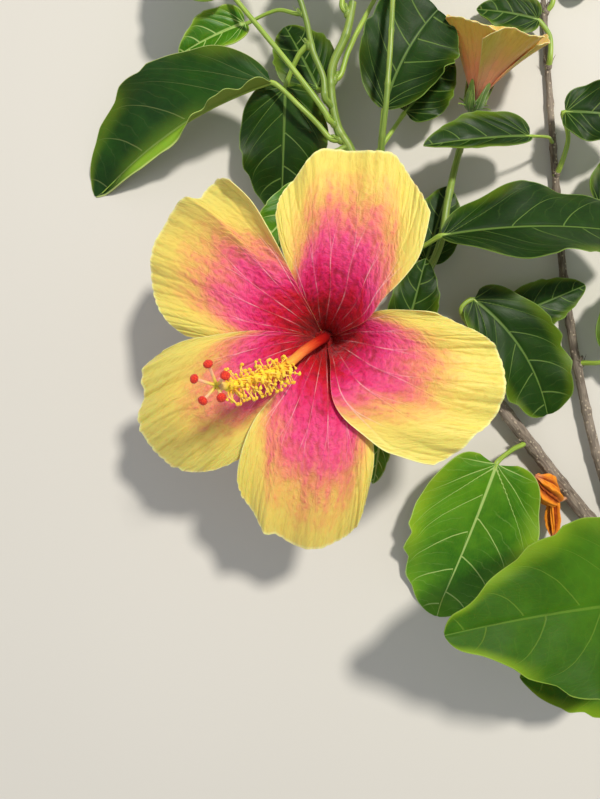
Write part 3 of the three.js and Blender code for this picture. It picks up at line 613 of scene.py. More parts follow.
def leaf_finish(name, dark, mid, vein_colour, under, gloss, vein_strength, yellowed,
                shine=0.24, painted_sunlight=0):
    """A glossy leaf skin with a pale midrib and side veins, a faint net between them, and an uneven
    yellow-green margin. Painted sunlight is the share of a lit yellow-green strip painted along one
    margin's middle."""
    leaf = Finish(name, Specular_IOR_Level=shine, Subsurface_Weight=0.08, Subsurface_Scale=0.002)
    x, vein, density = leaf.parts(leaf.grain())
    u, share = leaf.parts(leaf.node("TexCoord", {}, output=2))[:2]
    place = leaf.place()
    off = abs(x)
    edge = abs(u * 2 - 1)
    thin = share * -0.30 + 0.40
    midrib = leaf.fade(off, thin * 2.4, thin)
    from_vein = leaf.calc("FRACT", vein + 0.5) - 0.5
    wander = leaf.noise(place, 90, 2) * 0.06 - 0.03
    near = abs(from_vein + wander) / leaf.calc("MAXIMUM", density, 0.02)
    slim = edge * -0.26 + 0.50
    side_veins = leaf.fade(near, slim, slim * 0.35) * leaf.fade(edge, 0.45, 1.0, 1.0, 0.2)
    branch = leaf.from_middle(vein * 3.0 + edge * 2.2 + leaf.noise(place, 160, 2) * 0.9)
    branch = leaf.fade(branch, 0.01, 0.06, 0.16, 0.0) * leaf.fade(edge, 0.1, 0.4)
    side_veins = leaf.calc("MAXIMUM", side_veins, branch)
    veined = leaf.calc("MAXIMUM", midrib, side_veins)
    net_place = leaf.node("CombineXYZ", {0: x, 1: vein * 9.0})
    net = leaf.fade(leaf.cells(net_place, 0.55), 0.14, 0.02)
    tone = leaf.noise(place, 260, 2) * 0.22 + leaf.noise(place, 30, 3)
    base = leaf.mix(leaf.fade(tone, 0.42, 0.85), dark, mid)
    base = leaf.mix(net * 0.12, base, mid)
    margin = leaf.fade(edge, 0.62, 1.0) * leaf.fade(leaf.noise(place, 22, 2), 0.42, 0.62)
    base = leaf.mix(margin * yellowed, base, "#8cab1e")
    rim_width = 0.5
    if painted_sunlight:
        rim_width = leaf.fade(u, 0.5, 0.3, 0.3, 1.0)
        # Painted sunlight: a lit yellow-green strip along the middle of one margin.
        painted_sunlit_strip = leaf.fade(u, 0.66, 0.25) * leaf.fade(share, 0.25, 0.42) * leaf.fade(share, 0.95, 0.7)
        base = leaf.mix(painted_sunlit_strip * painted_sunlight, base, "#86ae2c")
    from_margin = off / leaf.calc("MAXIMUM", edge, 0.01) - off
    rim = leaf.fade(from_margin, rim_width * 0.4, rim_width, 0.6, 0.0)
    base = leaf.mix(rim, base, vein_colour)
    base = leaf.mix(veined * vein_strength, base, vein_colour)
    base = leaf.mix(leaf.underside() * 0.85, base, under)
    height = net * -0.12 + side_veins * -0.8 + leaf.noise(place, 700, 2) * 0.2
    dull = leaf.fade(leaf.noise(place, 70, 2), 0.3, 0.7, gloss, gloss + 0.12) + leaf.underside() * 0.25
    return leaf.use(base, leaf.bump(height, 0.1), dull)


# The lit finish's brighter greens are painted sunlight, for the leaves that lay in the sun; the dark
# finish's deep greens are partly the leaves' own colour and partly painted shade.
leaf_finishes = {kind: leaf_finish(*row) for kind, row in {
    "leaf_dark": ("leaf_dark_and_shade_gloss", "#0f2a02", "#1f4003", "#789646", "#93b348", 0.42, 0.5, 0.3, 0.17),
    "leaf_lit": ("leaf_lit_gloss", "#2f640a", "#568a16", "#b4cc78", "#93b348", 0.38, 0.75, 0.7),
    "leaf_satin": ("leaf_foreground_satin", "#2a5202", "#3c6a04", "#86a23c", "#8bae50",
                   0.5, 0.22, 0.5, 0.14),
    "leaf_edge": ("leaf_bright_edge", "#0f2f04", "#20490a", "#c6d284", "#7d9a34",
                  0.42, 0.16, 0.3, 0.17, 0.9),
}.items()}
stalk_finish = shoot_finish("leaf_stalk_skin", "#b3cb55", "#7d9c34")
leaves = {
    "leaf_upper_left": (main_stem, (8.8, 91.5, 25.4), [(-2, 96, 26.5), (-10, 102.9, 29)], Leaf(
        (-21.9, 113.2, 31), (-108.2, 72, -3), 28.5, arch=17, bow=-6, powers=(0.6, 0.65), heart=0,
        slim=0.2, upturned=9)),
    "leaf_hanging": (left_shoot, (-5.5, 128, 33), [(-11, 124.5, 29.5)], Leaf(
        (-16.5, 114, 25), (-19, 60, 3), 20, arch=3, fold=0.05)),
    "leaf_upper_middle": (bud_stalk, (23, 77, 28), [(25.5, 90, 27)], Leaf(
        (27, 103, 26), (49, 142, 35), 21, arch=4, bow=6, roll=4, powers=(0.6, 0.4), heart=0, curl=80)),
    "leaf_behind_middle": (main_stem, (16, 76, 21.5), [(28, 92, 15)], Leaf(
        (38, 107, 14), (59, 128, 19), 13, arch=3)),
    "leaf_right": (main_stem, (30, 46, 16), [(42, 42, 26)], Leaf(
        (50, 45.5, 34), (139.5, 46.5, 30), 22, arch=9, bow=6, roll=-35, fold=0.2, wave=2.5,
        powers=NARROW, heart=0)),
    "leaf_shaded": (main_stem, (38.5, 32, 13.5), [(44, 35, 8)], Leaf(
        (49, 40, 6), (60, 76, 5), 12, arch=3, wave=1)),
    "leaf_right_lower": (main_stem, (76, -18, 9), [(77, -2, 13), (68, 7.5, 15.5), (62.5, 16, 19)], Leaf(
        (67.5, 20.5, 20.5), (104, -32, 13), 17.5, arch=7, bow=10, powers=(0.4, 0.4), toothed=2.2)),
    "leaf_right_behind": (main_stem, (58, 4, 11), [(70, 8, 10.5)], Leaf(
        (84, 12, 11), (122, 28, 12), 11, arch=3, wave=1.2)),
    "leaf_bottom_right": (main_stem, (96.5, -44, 7), [(88, -47.5, 14)], Leaf(
        (78.4, -53.3, 21), (55.5, -129, -3), 28.5, arch=9, bow=-1, fold=0.08, powers=(0.4, 0.6),
        heart=0.28, toothed=1.6)),
    "leaf_foreground": (main_stem, (150, -106.5, 4.2), [(152, -98, 30), (146, -99, 52)], Leaf(
        (133, -102.5, 62), (41, -108.5, 84), 33, arch=7, bow=-6, roll=12, fold=0.1,
        powers=(0.45, 1.05), blunt=2.2, stalk=1.6)),
    "leaf_foreground_lower": (main_stem, (144, -100, 4.2), [(146, -112, 22)], Leaf(
        (139, -129, 36), (80, -139, 47), 22, arch=5)),
    "leaf_bough_left": (long_bough, (110.5, 97, 3), [(102, 94, 18)], Leaf(
        (92, 91.6, 26), (43, 84.6, 33), 13, arch=5, roll=20, wave=0.8, slim=0.45, stalk=0.8)),
    "leaf_bough_right": (long_bough, (111.5, 82, 3.3), [(113, 95, 14)], Leaf(
        (108, 104, 22), (141, 99, 25), 13, arch=4)),
    "leaf_bough_top": (long_bough, (108, 134, 2.4), [(107, 146, 7)], Leaf(
        (102, 153, 8), (73, 159, 6), 9, arch=3, wave=1)),
    "leaf_behind_bloom": (main_stem, (55, 9, 11.5), [(45, 1, 15)], Leaf(
        (37, 3, 19), (46, 38, 23), 11, arch=2, wave=1)),
    "leaf_young_left": (left_shoot, (-8.5, 141, 34.5), [(-20, 145, 29)], Leaf(
        (-34, 141, 26.5), (-64, 128, 24), 9, arch=4, fold=0.5, wave=1, stalk=0.9)),
    "leaf_between_petals": (main_stem, (17, 71, 21), [(6, 75, 16)], Leaf(
        (-4, 72, 13.5), (-32, 43, 11), 11, arch=2, wave=1)),
    "leaf_under_bloom": (main_stem, (62, -1, 10.5), [(44, -19, 22)], Leaf(
        (25.5, -36, 30), (22, -62, 28), 5, arch=3, fold=0.4, wave=0.8, stalk=1)),
    "leaf_behind_shoots": (main_stem, (3.6, 113, 29), [(1, 113, 24)], Leaf(
        (-2, 115, 20), (-17, 147, 13), 14, arch=3, wave=1)),
    "leaf_top_left": (main_stem, (6, 97.5, 26.6), [(1, 99.5, 30.5), (-12, 115.7, 33.5)], Leaf(
        (-40, 149, 37), (-67, 188, 30), 20, arch=8)),
    "leaf_top_middle": (main_stem, (11.5, 141, 34.5), [(8, 148, 35.5)], Leaf(
        (6, 156, 36), (0, 192, 30), 17, arch=6)),
    "leaf_top_right": (main_stem, (3.8, 115, 29.5), [(11, 127, 29.5)], Leaf(
        (25, 155, 28), (55, 187, 23), 18, arch=5)),
    "leaf_shoot_tip": (left_shoot, (-15, 160, 37.6), [(-19, 163, 39)], Leaf(
        (-22, 167, 40), (-29, 186, 40), 6, arch=3, fold=0.4, wave=0.6, stalk=0.7)),
    "leaf_right_outer": (long_bough, (120, -8, 5), [(127, -8, 13)], Leaf(
        (133, -6, 18), (160, 38, 16), 19, arch=7)),
    "leaf_right_upper": (long_bough, (113, 58, 3.8), [(120, 60, 11)], Leaf(
        (127, 65, 14), (160, 88, 9), 16, arch=6)),
    "leaf_bough_tip": (long_bough, (106.3, 160, 2), [(110, 165, 5)], Leaf(
        (114, 170, 7), (134, 194, 3), 12, arch=5)),
}
SPECIAL_FINISHES = {"leaf_foreground": "leaf_satin", "leaf_foreground_lower": "leaf_satin",
                    "leaf_upper_left": "leaf_edge"}


def add_stalk(form, stem, near, via, leaf):
    """The stalk, swollen at both ends, which runs on under the blade as its midrib."""
    shares = np.array([0.004, 0.04, 0.12, 0.3, 0.5, 0.7, 0.86, 0.96])
    depth = 0.45 + 0.7 * leaf.stalk * (1 - 0.75 * shares ** 0.4)
    under = leaf.midrib(shares)[0] - UP * depth[:, None]
    under[:, 2] = np.maximum(under[:, 2], 0.35)
    path = Line([*stem.seated_path(near, via), *under])
    free = path.nearest(under[0])

    def radius(share):
        distance = share * path.length
        along_blade = np.clip((share - free) / (1 - free), 0, 1)
        swollen = 0.3 * np.exp(-distance / 1.6)
        swollen = swollen + 0.22 * np.exp(-((share - free) * path.length / 3.2) ** 2)
        stout = leaf.stalk * (1.0 - 0.25 * np.minimum(share / free, 1) + swollen)
        return np.where(share < free, stout, stout * (1 - 0.75 * along_blade ** 0.4))

    add_tube(form, path, radius, 10, 90, crowding=1.1)


for node, (stem, near, via, leaf) in leaves.items():
    form = new_form()
    add_grid(form, leaf.place, *BLADE_GRID)
    thicken(form, BLADE_THICKNESS)
    finish = leaf_finishes[SPECIAL_FINISHES.get(node, SLOT_OF[node])]
    add_piece(form, node + "_blade", finish, SLOT_OF[node], node)
    form = new_form()
    add_stalk(form, stem, near, via, leaf)
    add_piece(form, node + "_stalk", stalk_finish, SLOT_OF[node], node)

# Each stalk stands on a cushion of its stem, with a small bud in the angle above it and a pair of
# thread-like stipules at its sides.
bark_joints, shoot_joints = new_form(), new_form()
for stem, near, via, leaf in leaves.values():
    woody = stem is long_bough or stem is main_stem and stem.nearest(near) < WOODY_END
    form = bark_joints if woody else shoot_joints
    foot, out, along, lean = stem.seat(near, via[0])
    beside = np.cross(out, along)
    thick = leaf.stalk
    cushion = foot - out * 0.5 * thick - along * 0.25 * thick
    add_ball(form, cushion, along, (1.3 * thick, 1.3 * thick, 1.9 * thick))
    add_ball(form, foot + along * 1.7 * thick + out * 0.5, along + out * 0.5, (0.8, 0.8, 1.5), 2)
    for side in (-1, 1):
        root = foot + beside * side * thick * 0.95
        bend = root + along * 1.6 + out * 0.9 + beside * side * 0.5
        tip = root + along * 3.6 + out * 1.5 + beside * side * 1.7
        add_tube(form, Line([root, bend, tip]), lambda s: 0.3 - 0.22 * s, 6, 8)
add_piece(bark_joints, "bark_leaf_joints", bark, "bark",
          "stem_lower", "stem_middle", "bough_lower", "bough_upper")
add_piece(shoot_joints, "shoot_leaf_joints", shoot, "stem_green",
          "stem_upper", "left_shoot", "bud_stalk")


# The open bloom's five petals. Each is one thin sheet that fans out from a narrow claw and lies over
# its neighbour on one side and under the next on the other. Its veins fork towards a pleated and
# ruffled margin, and its colour runs from a red throat through pink and salmon to yellow.
THROAT_HEIGHT = 62
FUNNEL_DEPTH = 20
FUNNEL_RISE = 34
FUNNEL_SPREAD = 9
RIM_START = 40
RIM_DROP = 10
RIM_SPAN = 35
LEAN = math.tan(math.radians(8))
CLAW_RADIUS = 4
CLAW_FOOT_RADIUS = 1.9  # the claws end inside the foot of the column
CLAW_FOOT_HALF_ANGLE = 46
PETAL_SHEET = 0.35
OVERLAP_AT_CLAW = 0.6
OVERLAP_OUTSIDE = 1.8
RUFFLE = 1.8
FRILL = 0.9
CRINKLE = 0.22
PLEAT = 0.38
THROAT_FILL = 5  # that the sheets rise round the column's foot, above the frame's solids
PETAL_GRID = (200, 96)
PETAL_VEINS = 6
FIRST_FORK = (0.40, 0.74)  # shares of the petal's length over which its veins part
SECOND_FORK = (0.66, 0.92)


def petal_height(x, y):
    radius = np.hypot(x, y)
    climb = FUNNEL_RISE * (1 - np.exp(-np.maximum(radius - CLAW_RADIUS, 0) / FUNNEL_SPREAD))
    climb = climb + THROAT_FILL * np.exp(-((radius - CLAW_FOOT_RADIUS) / 3.4) ** 2)
    turned = np.maximum(radius - RIM_START, 0) / RIM_SPAN
    leaning = x * LEAN * smooth(radius, CLAW_RADIUS, 5 * CLAW_RADIUS)
    return climb - FUNNEL_DEPTH - RIM_DROP * turned * turned + leaning


def petal_normal(x, y, step=0.05):
    slope_x = (petal_height(x + step, y) - petal_height(x - step, y)) / (2 * step)
    slope_y = (petal_height(x, y + step) - petal_height(x, y - step)) / (2 * step)
    return unit(np.stack([-slope_x, -slope_y, np.ones(len(x))], axis=1))


def vein_gap(t, s):
    """How far a point of a petal lies from the nearest vein, in shares of the first veins' pitch."""
    gap = np.abs((t * PETAL_VEINS) % 1 - 0.5)
    gap = np.abs(gap - 0.25 * smooth(s, *FIRST_FORK))
    return np.abs(gap - 0.125 * smooth(s, *SECOND_FORK))


class Petal:
    """A petal whose outline is three splines in plan, round the throat: the edge that lies over its
    neighbour, the outer margin, and the edge that lies under the next petal."""

    def __init__(self, angle, over, margin, under, waves, phase, frill, reach=1.0, folds=()):
        self.claw_angle, self.waves, self.phase, self.frill = angle, waves, phase, frill
        self.reach, self.folds = reach, folds
        self.over = Line([self.claw(-1), *over, margin[0]], 0)
        self.margin = Line(margin, 0)
        self.under = Line([self.claw(1), *under, margin[-1]], 0)

    def claw(self, turn):
        direction = np.radians(self.claw_angle + turn * CLAW_FOOT_HALF_ANGLE)
        return CLAW_FOOT_RADIUS * np.stack([np.cos(direction), np.sin(direction)], axis=-1)

    def place(self, t, s):
        across, along = t[:, None], s[:, None]
        plan = self.over.at(s) * (1 - across) + self.under.at(s) * across
        plan = plan + self.claw(2 * t - 1) * (1 - along) + self.margin.at(t) * along
        plan = plan - self.claw(-1) * (1 - along) * (1 - across) - self.claw(1) * (1 - along) * across
        plan = plan - self.margin.at(0) * along * (1 - across) - self.margin.at(1) * along * across
        crinkle = np.sin(t * 83 + self.phase) + 0.8 * np.sin(t * 131 + 2 * self.phase)
        plan = plan + unit(plan) * (CRINKLE * self.frill * crinkle * s ** 12)[:, None]
        x, y = plan.T
        outside = smooth(np.hypot(x, y), 5, 12)
        step = OVERLAP_AT_CLAW + (OVERLAP_OUTSIDE - OVERLAP_AT_CLAW) * outside
        lift = step * (1 - 2 * t)
        side = np.minimum(t, 1 - t)
        waved = RUFFLE * s ** 3 * np.sin(2 * np.pi * self.waves * t + self.phase)
        frilled = np.sin(2 * np.pi * 9.5 * t + 1.7 * self.phase) + 0.8 * np.sin(2 * np.pi * 17 * t)
        waved = waved + FRILL * self.frill * s ** 6 * frilled * smooth(side, 0, 0.1)
        pleat = smooth(vein_gap(t, s), 0, 0.075) - 0.5
        uneven = 0.75 + 0.5 * np.sin(7 * t + self.phase)
        lift = lift + PLEAT * pleat * smooth(s, 0.3, 0.8) * uneven * smooth(side, 0, 0.05)
        for centre, width, height, start in self.folds:
            ridge = np.exp(-np.abs((t - centre) / width) ** 1.5)
            lift = lift + height * ridge * smooth(s, start, start + 0.35)
        point = np.stack([x, y, petal_height(x, y)], axis=1)
        point = point + petal_normal(x, y) * lift[:, None] + UP * (THROAT_HEIGHT + waved)[:, None]
        sides = np.abs(2 * t - 1) ** 2.6
        level = s / self.reach + 0.34 * sides * smooth(s, 0.15, 0.6)
        return point, np.stack([t, level, s], axis=1)


def petal_finish(name, stops, vein_colour, under_tint, size, veins_shown=0.5, puckered=1.0):
    """Petal skin, with its colours by level. Its size is the petal's width at the claw, how much wider
    it gets, and its length. Small puckers cover the inner part, and soft pleats the outer, both with
    painted shade darkening their hollows."""
    petal = Finish(name, Specular_IOR_Level=0.3, Sheen_Weight=0.12, Sheen_Roughness=0.4,
                   Subsurface_Weight=0.35, Subsurface_Scale=0.0015)
    t, level, s = petal.parts(petal.grain())
    place = petal.place()
    foot_width, widening, length = size
    width = s * widening + foot_width
    across = (t - 0.5) * width + petal.noise(place, 110, 2) * 3.0
    along = s * length + petal.noise(place, 140, 2) * 3.0
    sheet = petal.node("CombineXYZ", {0: across, 1: along, 2: level * 3})
    streaks = petal.noise(sheet, 0.36, 3, (1, 0.12, 1))
    fine = petal.noise(sheet, 1.3, 3, (1, 0.22, 1))
    puckers = petal.cells(sheet, 0.72, "SMOOTH_F1", (1, 0.6, 0.5)) + petal.noise(sheet, 1.5, 3) * 0.5
    inner = petal.fade(level, 0.92, 0.62)
    outer = petal.fade(level, 0.6, 0.95)
    shift = (petal.noise(place, 70, 4) - 0.5) * 0.26 + (streaks - 0.5) * 0.30 + (puckers - 0.7) * 0.14
    base = petal.ramp(shift * petal.fade(level, 0.7, 0.95, 1.0, 0.3) + level, stops)
    # Painted shade: the hollows between the puckers are darkened.
    creased = petal.fade(puckers, 0.62, 1.0) * petal.fade(level, 0.25, 0.85, 0.8 * puckered, 0.0)
    base = petal.mix(creased, base, petal.mix(1.0, base, "#b23a5c", "MULTIPLY"))
    # Painted shade: the grooves of the fine pleats in the outer part are darkened.
    painted_groove_shade = petal.fade(fine, 0.5, 0.35) * outer * 0.22
    base = petal.mix(painted_groove_shade, base, petal.mix(1.0, base, "#cdb070", "MULTIPLY"))
    gap = petal.from_middle(t * PETAL_VEINS)
    for share, fork in ((0.25, FIRST_FORK), (0.125, SECOND_FORK)):
        gap = abs(gap - petal.fade(s, *fork, 0.0, share))
    veins = petal.fade(gap * width * (1 / PETAL_VEINS), 0.28, 0.05)
    shown = petal.fade(s, 0.06, 0.2) * petal.fade(s, 0.72, 0.4)
    uneven = petal.fade(petal.noise(sheet, 0.09, 1), 0.4, 0.62, 0.12, 1.0)
    base = petal.mix(veins * shown * uneven * veins_shown, base, vein_colour)
    # Painted highlight: a thin pale line along the petal's sides and outer margin, a rim of light on its
    # edges.
    side = petal.calc("MINIMUM", t, 1.0 - t)
    at_side, at_end = petal.fade(side, 0.010, 0.002), petal.fade(s, 0.982, 0.997)
    rim = petal.calc("MAXIMUM", at_side, at_end) * petal.fade(level, 0.5, 0.8, 0.1, 0.5)
    base = petal.mix(rim, base, "#f6efb4")
    base = petal.mix(petal.underside() * 0.35, base, under_tint)
    height = petal.noise(place, 1500, 3) * 0.12 + puckers * inner * (-2.0 * puckered)
    height = height + streaks * petal.fade(s, 0.4, 0.9) * 1.5 + fine * outer * 0.5 + veins * inner * 0.35
    return petal.use(base, petal.bump(height, 0.45), petal.fade(level, 0.2, 0.9, 0.62, 0.52))


petals = {
    "petal_top": Petal(
        79, [(14.8, 4.2), (20.6, 11.7), (27, 18.2), (32.4, 25.5), (34.8, 33.3)],
        [(36.5, 41.6), (34.9, 45.4), (32.6, 51.2), (29.4, 58.7), (24.7, 65.3), (16, 67.5),
         (7.1, 69.3), (-0.7, 69.9), (-6.1, 66.7), (-11.4, 60), (-17.2, 52.8), (-19.6, 43.8)],
        [(-5.1, 5.8), (-10.5, 15.1), (-14.6, 24.4), (-17.8, 33.8)], 3.2, 0.6, 0.25, 1.06),
    "petal_upper_left": Petal(
        150, [(-8.7, 13.8), (-14.9, 25.5), (-20.6, 36.5), (-26, 45.5)],
        [(-33.7, 53.4), (-39.5, 57), (-45.1, 55.1), (-47.9, 51.7), (-54.4, 52.6), (-60.5, 49.5),
         (-67, 39.3), (-69.4, 28), (-68.5, 17.5), (-64.2, 8.3), (-59.2, 2.6), (-54.4, -0.6)],
        [(-12.9, -2.2), (-23.2, -4.1), (-33.7, -3.5), (-44.2, -2.6)], 3.4, 2.2, 0.3, 1.05,
        [(0.0, 0.12, 6.0, 0.4), (0.25, 0.05, 1.4, 0.35)]),
    "petal_left": Petal(
        212, [(-11.6, 0.5), (-22.7, 0.8), (-30.7, 0.6), (-42.4, -0.9), (-52.9, -2.5)],
        [(-62.2, -6.1), (-69.5, -11.4), (-71.6, -17.1), (-71.1, -22.2), (-73, -28.2), (-73.2, -37.2),
         (-70.2, -44.5), (-63.9, -50.1), (-53.9, -53.8), (-44.8, -52.9), (-34.2, -48.4)],
        [(-8.7, -9.9), (-14.6, -18.9), (-19.6, -28.4), (-24, -38.1)], 3.8, 4.1, 0.7, 0.95,
        [(0.36, 0.06, 1.8, 0.5)]),
    "petal_bottom": Petal(
        277, [(-8.7, -9.7), (-18.3, -22.1), (-25.5, -30.4), (-29.8, -39), (-32.5, -48.3)],
        [(-33.2, -54.8), (-31.5, -61.6), (-27.5, -68.4), (-23.4, -75.1), (-19.2, -76.7), (-13.6, -81.4),
         (-7, -83.2), (0.3, -82.1), (7.5, -78.1), (12.4, -70.7), (15, -60.9)],
        [(6.5, -12.1), (11.2, -22.4), (15, -33.1), (16.9, -44.2), (16.6, -52.5)], 3.6, 1.1, 0.35, 1.1,
        [(0.3, 0.05, 1.5, 0.6)]),
    "petal_right": Petal(
        352, [(1.8, -11.1), (1.5, -18.7), (2.3, -25.7), (5.8, -31.6), (12.6, -37.5), (20, -43),
              (25.5, -45), (33.1, -47.3)],
        [(38.3, -48.1), (44, -45.5), (49.4, -41.2), (52.3, -37.6), (59.4, -33), (63, -25.5),
         (63.7, -14.3), (60.9, -6.4), (54.5, -1.5), (42.9, 4.7), (34.8, 6.8)],
        [(7.2, 5.1), (13, 6.7), (21.6, 8.1)], 3.7, 3.3, 0.35, 0.95),
}
bloom_finish = petal_finish("petal_sunset", [
    (0.0, "#a00004"), (0.12, "#b2000e"), (0.22, "#c0042e"), (0.33, "#d41c62"), (0.44, "#e2447c"),
    (0.54, "#e46276"), (0.64, "#e68a68"), (0.74, "#e4ae5e"), (0.84, "#e2c660"), (1.0, "#dccc66"),
], "#ffc2c0", "#e3c66c", (9, 66, 74))
for node, petal in petals.items():
    form = new_form()
    add_grid(form, petal.place, *PETAL_GRID)
    bmesh.ops.reverse_faces(form, faces=form.faces[:])
    thicken(form, PETAL_SHEET)
    add_piece(form, node + "_sheet", bloom_finish, "petal_yellow_pink", node)


# The staminal column: one waxy tube, red at its foot and orange further out, which carries some
# hundred and fifty stamens round its outer part, and beyond them five styles with velvety red
# stigma pads.
COLUMN_FOOT_RADIUS = 2.1
COLUMN_TIP_RADIUS = 1.5
STAMENS = 150
STAMEN_START = 0.6
STAMEN_END = 0.985
FILAMENT_LENGTH = 4.1
FILAMENT_SAG = np.array([0.3, -1.5, -0.6])
ANTHER_SIZE = 0.84
ANTHER_SHAPE = np.array([1.15, 0.78, 0.7])
ANTHER_BEND = 0.35
STIGMA_SIZE = 1.55
GOLDEN_ANGLE = math.pi * (3 - math.sqrt(5))
column = Line([(x, y, z + THROAT_HEIGHT) for x, y, z in [
    (0, 0, GAP - FUNNEL_DEPTH), (-0.7, -0.7, -4), (-8.3, -6.7, 12), (-16.4, -13.9, 24),
    (-26.9, -18.4, 35), (-34.1, -20.9, 42),
]])


def column_radius(share):
    return COLUMN_FOOT_RADIUS + (COLUMN_TIP_RADIUS - COLUMN_FOOT_RADIUS) * share


def wax_finish():
    wax = Finish("column_wax", Roughness=0.5, Specular_IOR_Level=0.4, Subsurface_Weight=0.2,
                 Subsurface_Scale=0.002)
    grain = wax.grain()
    streaks = wax.noise(grain, 1.0, 3, (2.4, 2.4, 0.3))
    level = (streaks * 9 + wax.parts(grain)[2]) / (column.length + 4.5)
    base = wax.ramp(level, [
        (0.24, "#7c0006"), (0.36, "#aa140a"), (0.44, "#cf4a20"), (0.53, "#e47c3a"), (0.62, "#f0a43c"),
        (0.72, "#f8d436"),
    ])
    return wax.use(base, wax.bump(streaks, 0.15))


form = new_form()
add_tube(form, column, column_radius, 24, 120)
add_piece(form, "column_tube", wax_finish(), "column_orange", "staminal_column")

stamen_form, anther_form = new_form(), new_form()
for index in range(STAMENS):
    share = STAMEN_START + (STAMEN_END - STAMEN_START) * index / (STAMENS - 1)
    root, along = column.at(share), column.along(share)
    turn = index * GOLDEN_ANGLE
    side = unit(np.cross(along, UP))
    out = side * math.cos(turn) + np.cross(along, side) * math.sin(turn)
    reach = FILAMENT_LENGTH * (0.5 + 0.62 * (index * 0.618 % 1)) + COLUMN_TIP_RADIUS
    sag = FILAMENT_SAG * (0.7 + 0.6 * math.sin(index * 0.9))
    tip = root + out * reach + along * (0.6 + 1.6 * math.sin(index * 1.3)) + sag
    elbow = root + out * reach * 0.55 + along * (0.9 + 0.9 * math.cos(index * 3.1)) + sag * 0.2
    add_tube(stamen_form, Line([root, elbow, tip], per_span=8), lambda s: 0.26 - 0.08 * s, 6, 6)
    # An anther is a kidney-shaped sac laid across the end of its filament.
    axis = Vector(unit(np.cross(out, along + out * 0.3 * math.sin(index))))
    size = ANTHER_SIZE * (0.86 + 0.16 * math.sin(index * 5.1))
    for vert in add_ball(anther_form, tip, axis, ANTHER_SHAPE * size, 2, (1, 0, 0)):
        from_tip = vert.co - Vector(tip)
        bend = (from_tip.dot(axis) / size) ** 2
        grit = 0.07 * noise.noise(vert.co * 4.5)
        vert.co = vert.co - Vector(out) * bend * ANTHER_BEND * size + from_tip.normalized() * grit

filament = Finish("filament_skin", Roughness=0.45, Subsurface_Weight=0.2, Subsurface_Scale=0.001)
rise = filament.fade(filament.parts(filament.grain())[2], 1.5, 5.0)
strand = filament.use(filament.mix(rise, "#f2b02a", "#f6d45a"))
add_piece(stamen_form, "column_filaments", strand, "column_orange", "staminal_column")
pollen = Finish("anther_pollen", Roughness=0.8, Sheen_Weight=0.2)
grit = pollen.noise(pollen.place(), 2600, 3)
tone = pollen.fade(pollen.noise(pollen.place(), 260, 1), 0.35, 0.65)
pollen_base = pollen.mix(tone, "#f2b81a", "#fbdc30")
pollen_base = pollen.mix(pollen.fade(grit, 0.55, 0.75, 0.0, 0.5), pollen_base, "#fbe67a")
add_piece(anther_form, "column_anthers", pollen.use(pollen_base, pollen.bump(grit, 0.3)), "column_orange",
          "staminal_column", sharp=180)

# The styles leave the column as one bundle and part at its end.
STYLE_FORK = np.array([-36.8, -20.4, 44.5 + THROAT_HEIGHT])
STIGMAS = [(-38.8, -13.8, 50), (-33.2, -17.5, 52), (-43.3, -18.4, 49), (-34.6, -24.3, 50),
           (-40.6, -25.3, 49)]
style_form, pad_form = new_form(), new_form()
column_end = column.at(0.985)
bundle = Line([column_end, (column_end + STYLE_FORK) / 2 + UP * 0.2, STYLE_FORK])
add_tube(style_form, bundle, lambda s: 1.15 + 0.25 * np.sin(np.pi * s), 12, 16)
for x, y, z in STIGMAS:
    pad = np.array([x, y, z + THROAT_HEIGHT])
    way = unit(pad - STYLE_FORK)
    middle = (STYLE_FORK + pad) / 2 - UP * 0.8 + way * 0.6
    add_tube(style_form, Line([STYLE_FORK, middle, pad]), lambda s: 0.6 - 0.15 * s, 8, 18)
    # A pad is a flattened ball whose velvet stands out as short blunt hairs.
    for vert in add_ball(pad_form, pad, way, (STIGMA_SIZE, STIGMA_SIZE, 0.78 * STIGMA_SIZE), 4):
        from_pad = vert.co - Vector(pad)
        vert.co = vert.co + from_pad.normalized() * 0.26 * max(noise.noise(vert.co * 3.4), -0.1)
style = Finish("style_skin", Roughness=0.4, Subsurface_Weight=0.3, Subsurface_Scale=0.002)
fresh = style.fade(style.parts(style.grain())[2], 1.0, 6.0)
style_skin = style.use(style.mix(fresh, "#d8c23c", "#f0b894"))
add_piece(style_form, "column_styles", style_skin, "column_orange", "staminal_column")
velvet = Finish("stigma_velvet", Roughness=0.75, Sheen_Weight=0.12, Sheen_Roughness=0.5)
hairs = velvet.cells(velvet.place(), 2600, "F1")
red = velvet.mix(velvet.fade(hairs, 0.1, 0.6), "#ff4a16", "#c81804")
add_piece(pad_form, "column_stigma_pads", velvet.use(red, velvet.bump(hairs, 0.2)), "column_orange",
          "staminal_column", sharp=180)


# The calyx holds the petals' claws in a bell of five pointed sepals, matt and downy, with a ring of
# narrow bracts under it. The flower's stalk leaves the main stem, passes under the bloom and turns
# up into the calyx.
CALYX_LENGTH = 22
CALYX_RADIUS = 7.6
SEPAL_SHEET = 0.5
BELL_GRID = (100, 30)


def calyx_finish(name, lit, shaded):
    sepal = Finish(name, Roughness=0.62, Specular_IOR_Level=0.35, Sheen_Weight=0.3,
                   Subsurface_Weight=0.1, Subsurface_Scale=0.002)
    turn, rise = sepal.parts(sepal.grain())[:2]
    ribbed = sepal.fade(sepal.from_middle(turn * 15), 0.14, 0.02)
    down = sepal.noise(sepal.place(), 1400, 3)
    tone = sepal.noise(sepal.place(), 120, 3)
    base = sepal.mix(sepal.fade(tone, 0.35, 0.7), shaded, lit)
    base = sepal.mix(ribbed * 0.35, base, "#b6c56a")
    base = sepal.mix(sepal.fade(rise, 0.75, 1.0, 0.0, 0.35), base, "#a4bf55")
    return sepal.use(base, sepal.bump(down * 0.5 + ribbed, 0.25))


def around(turn, reach, height):
    """Points round the z axis."""
    return np.stack([reach * np.cos(turn), reach * np.sin(turn), height], axis=1)


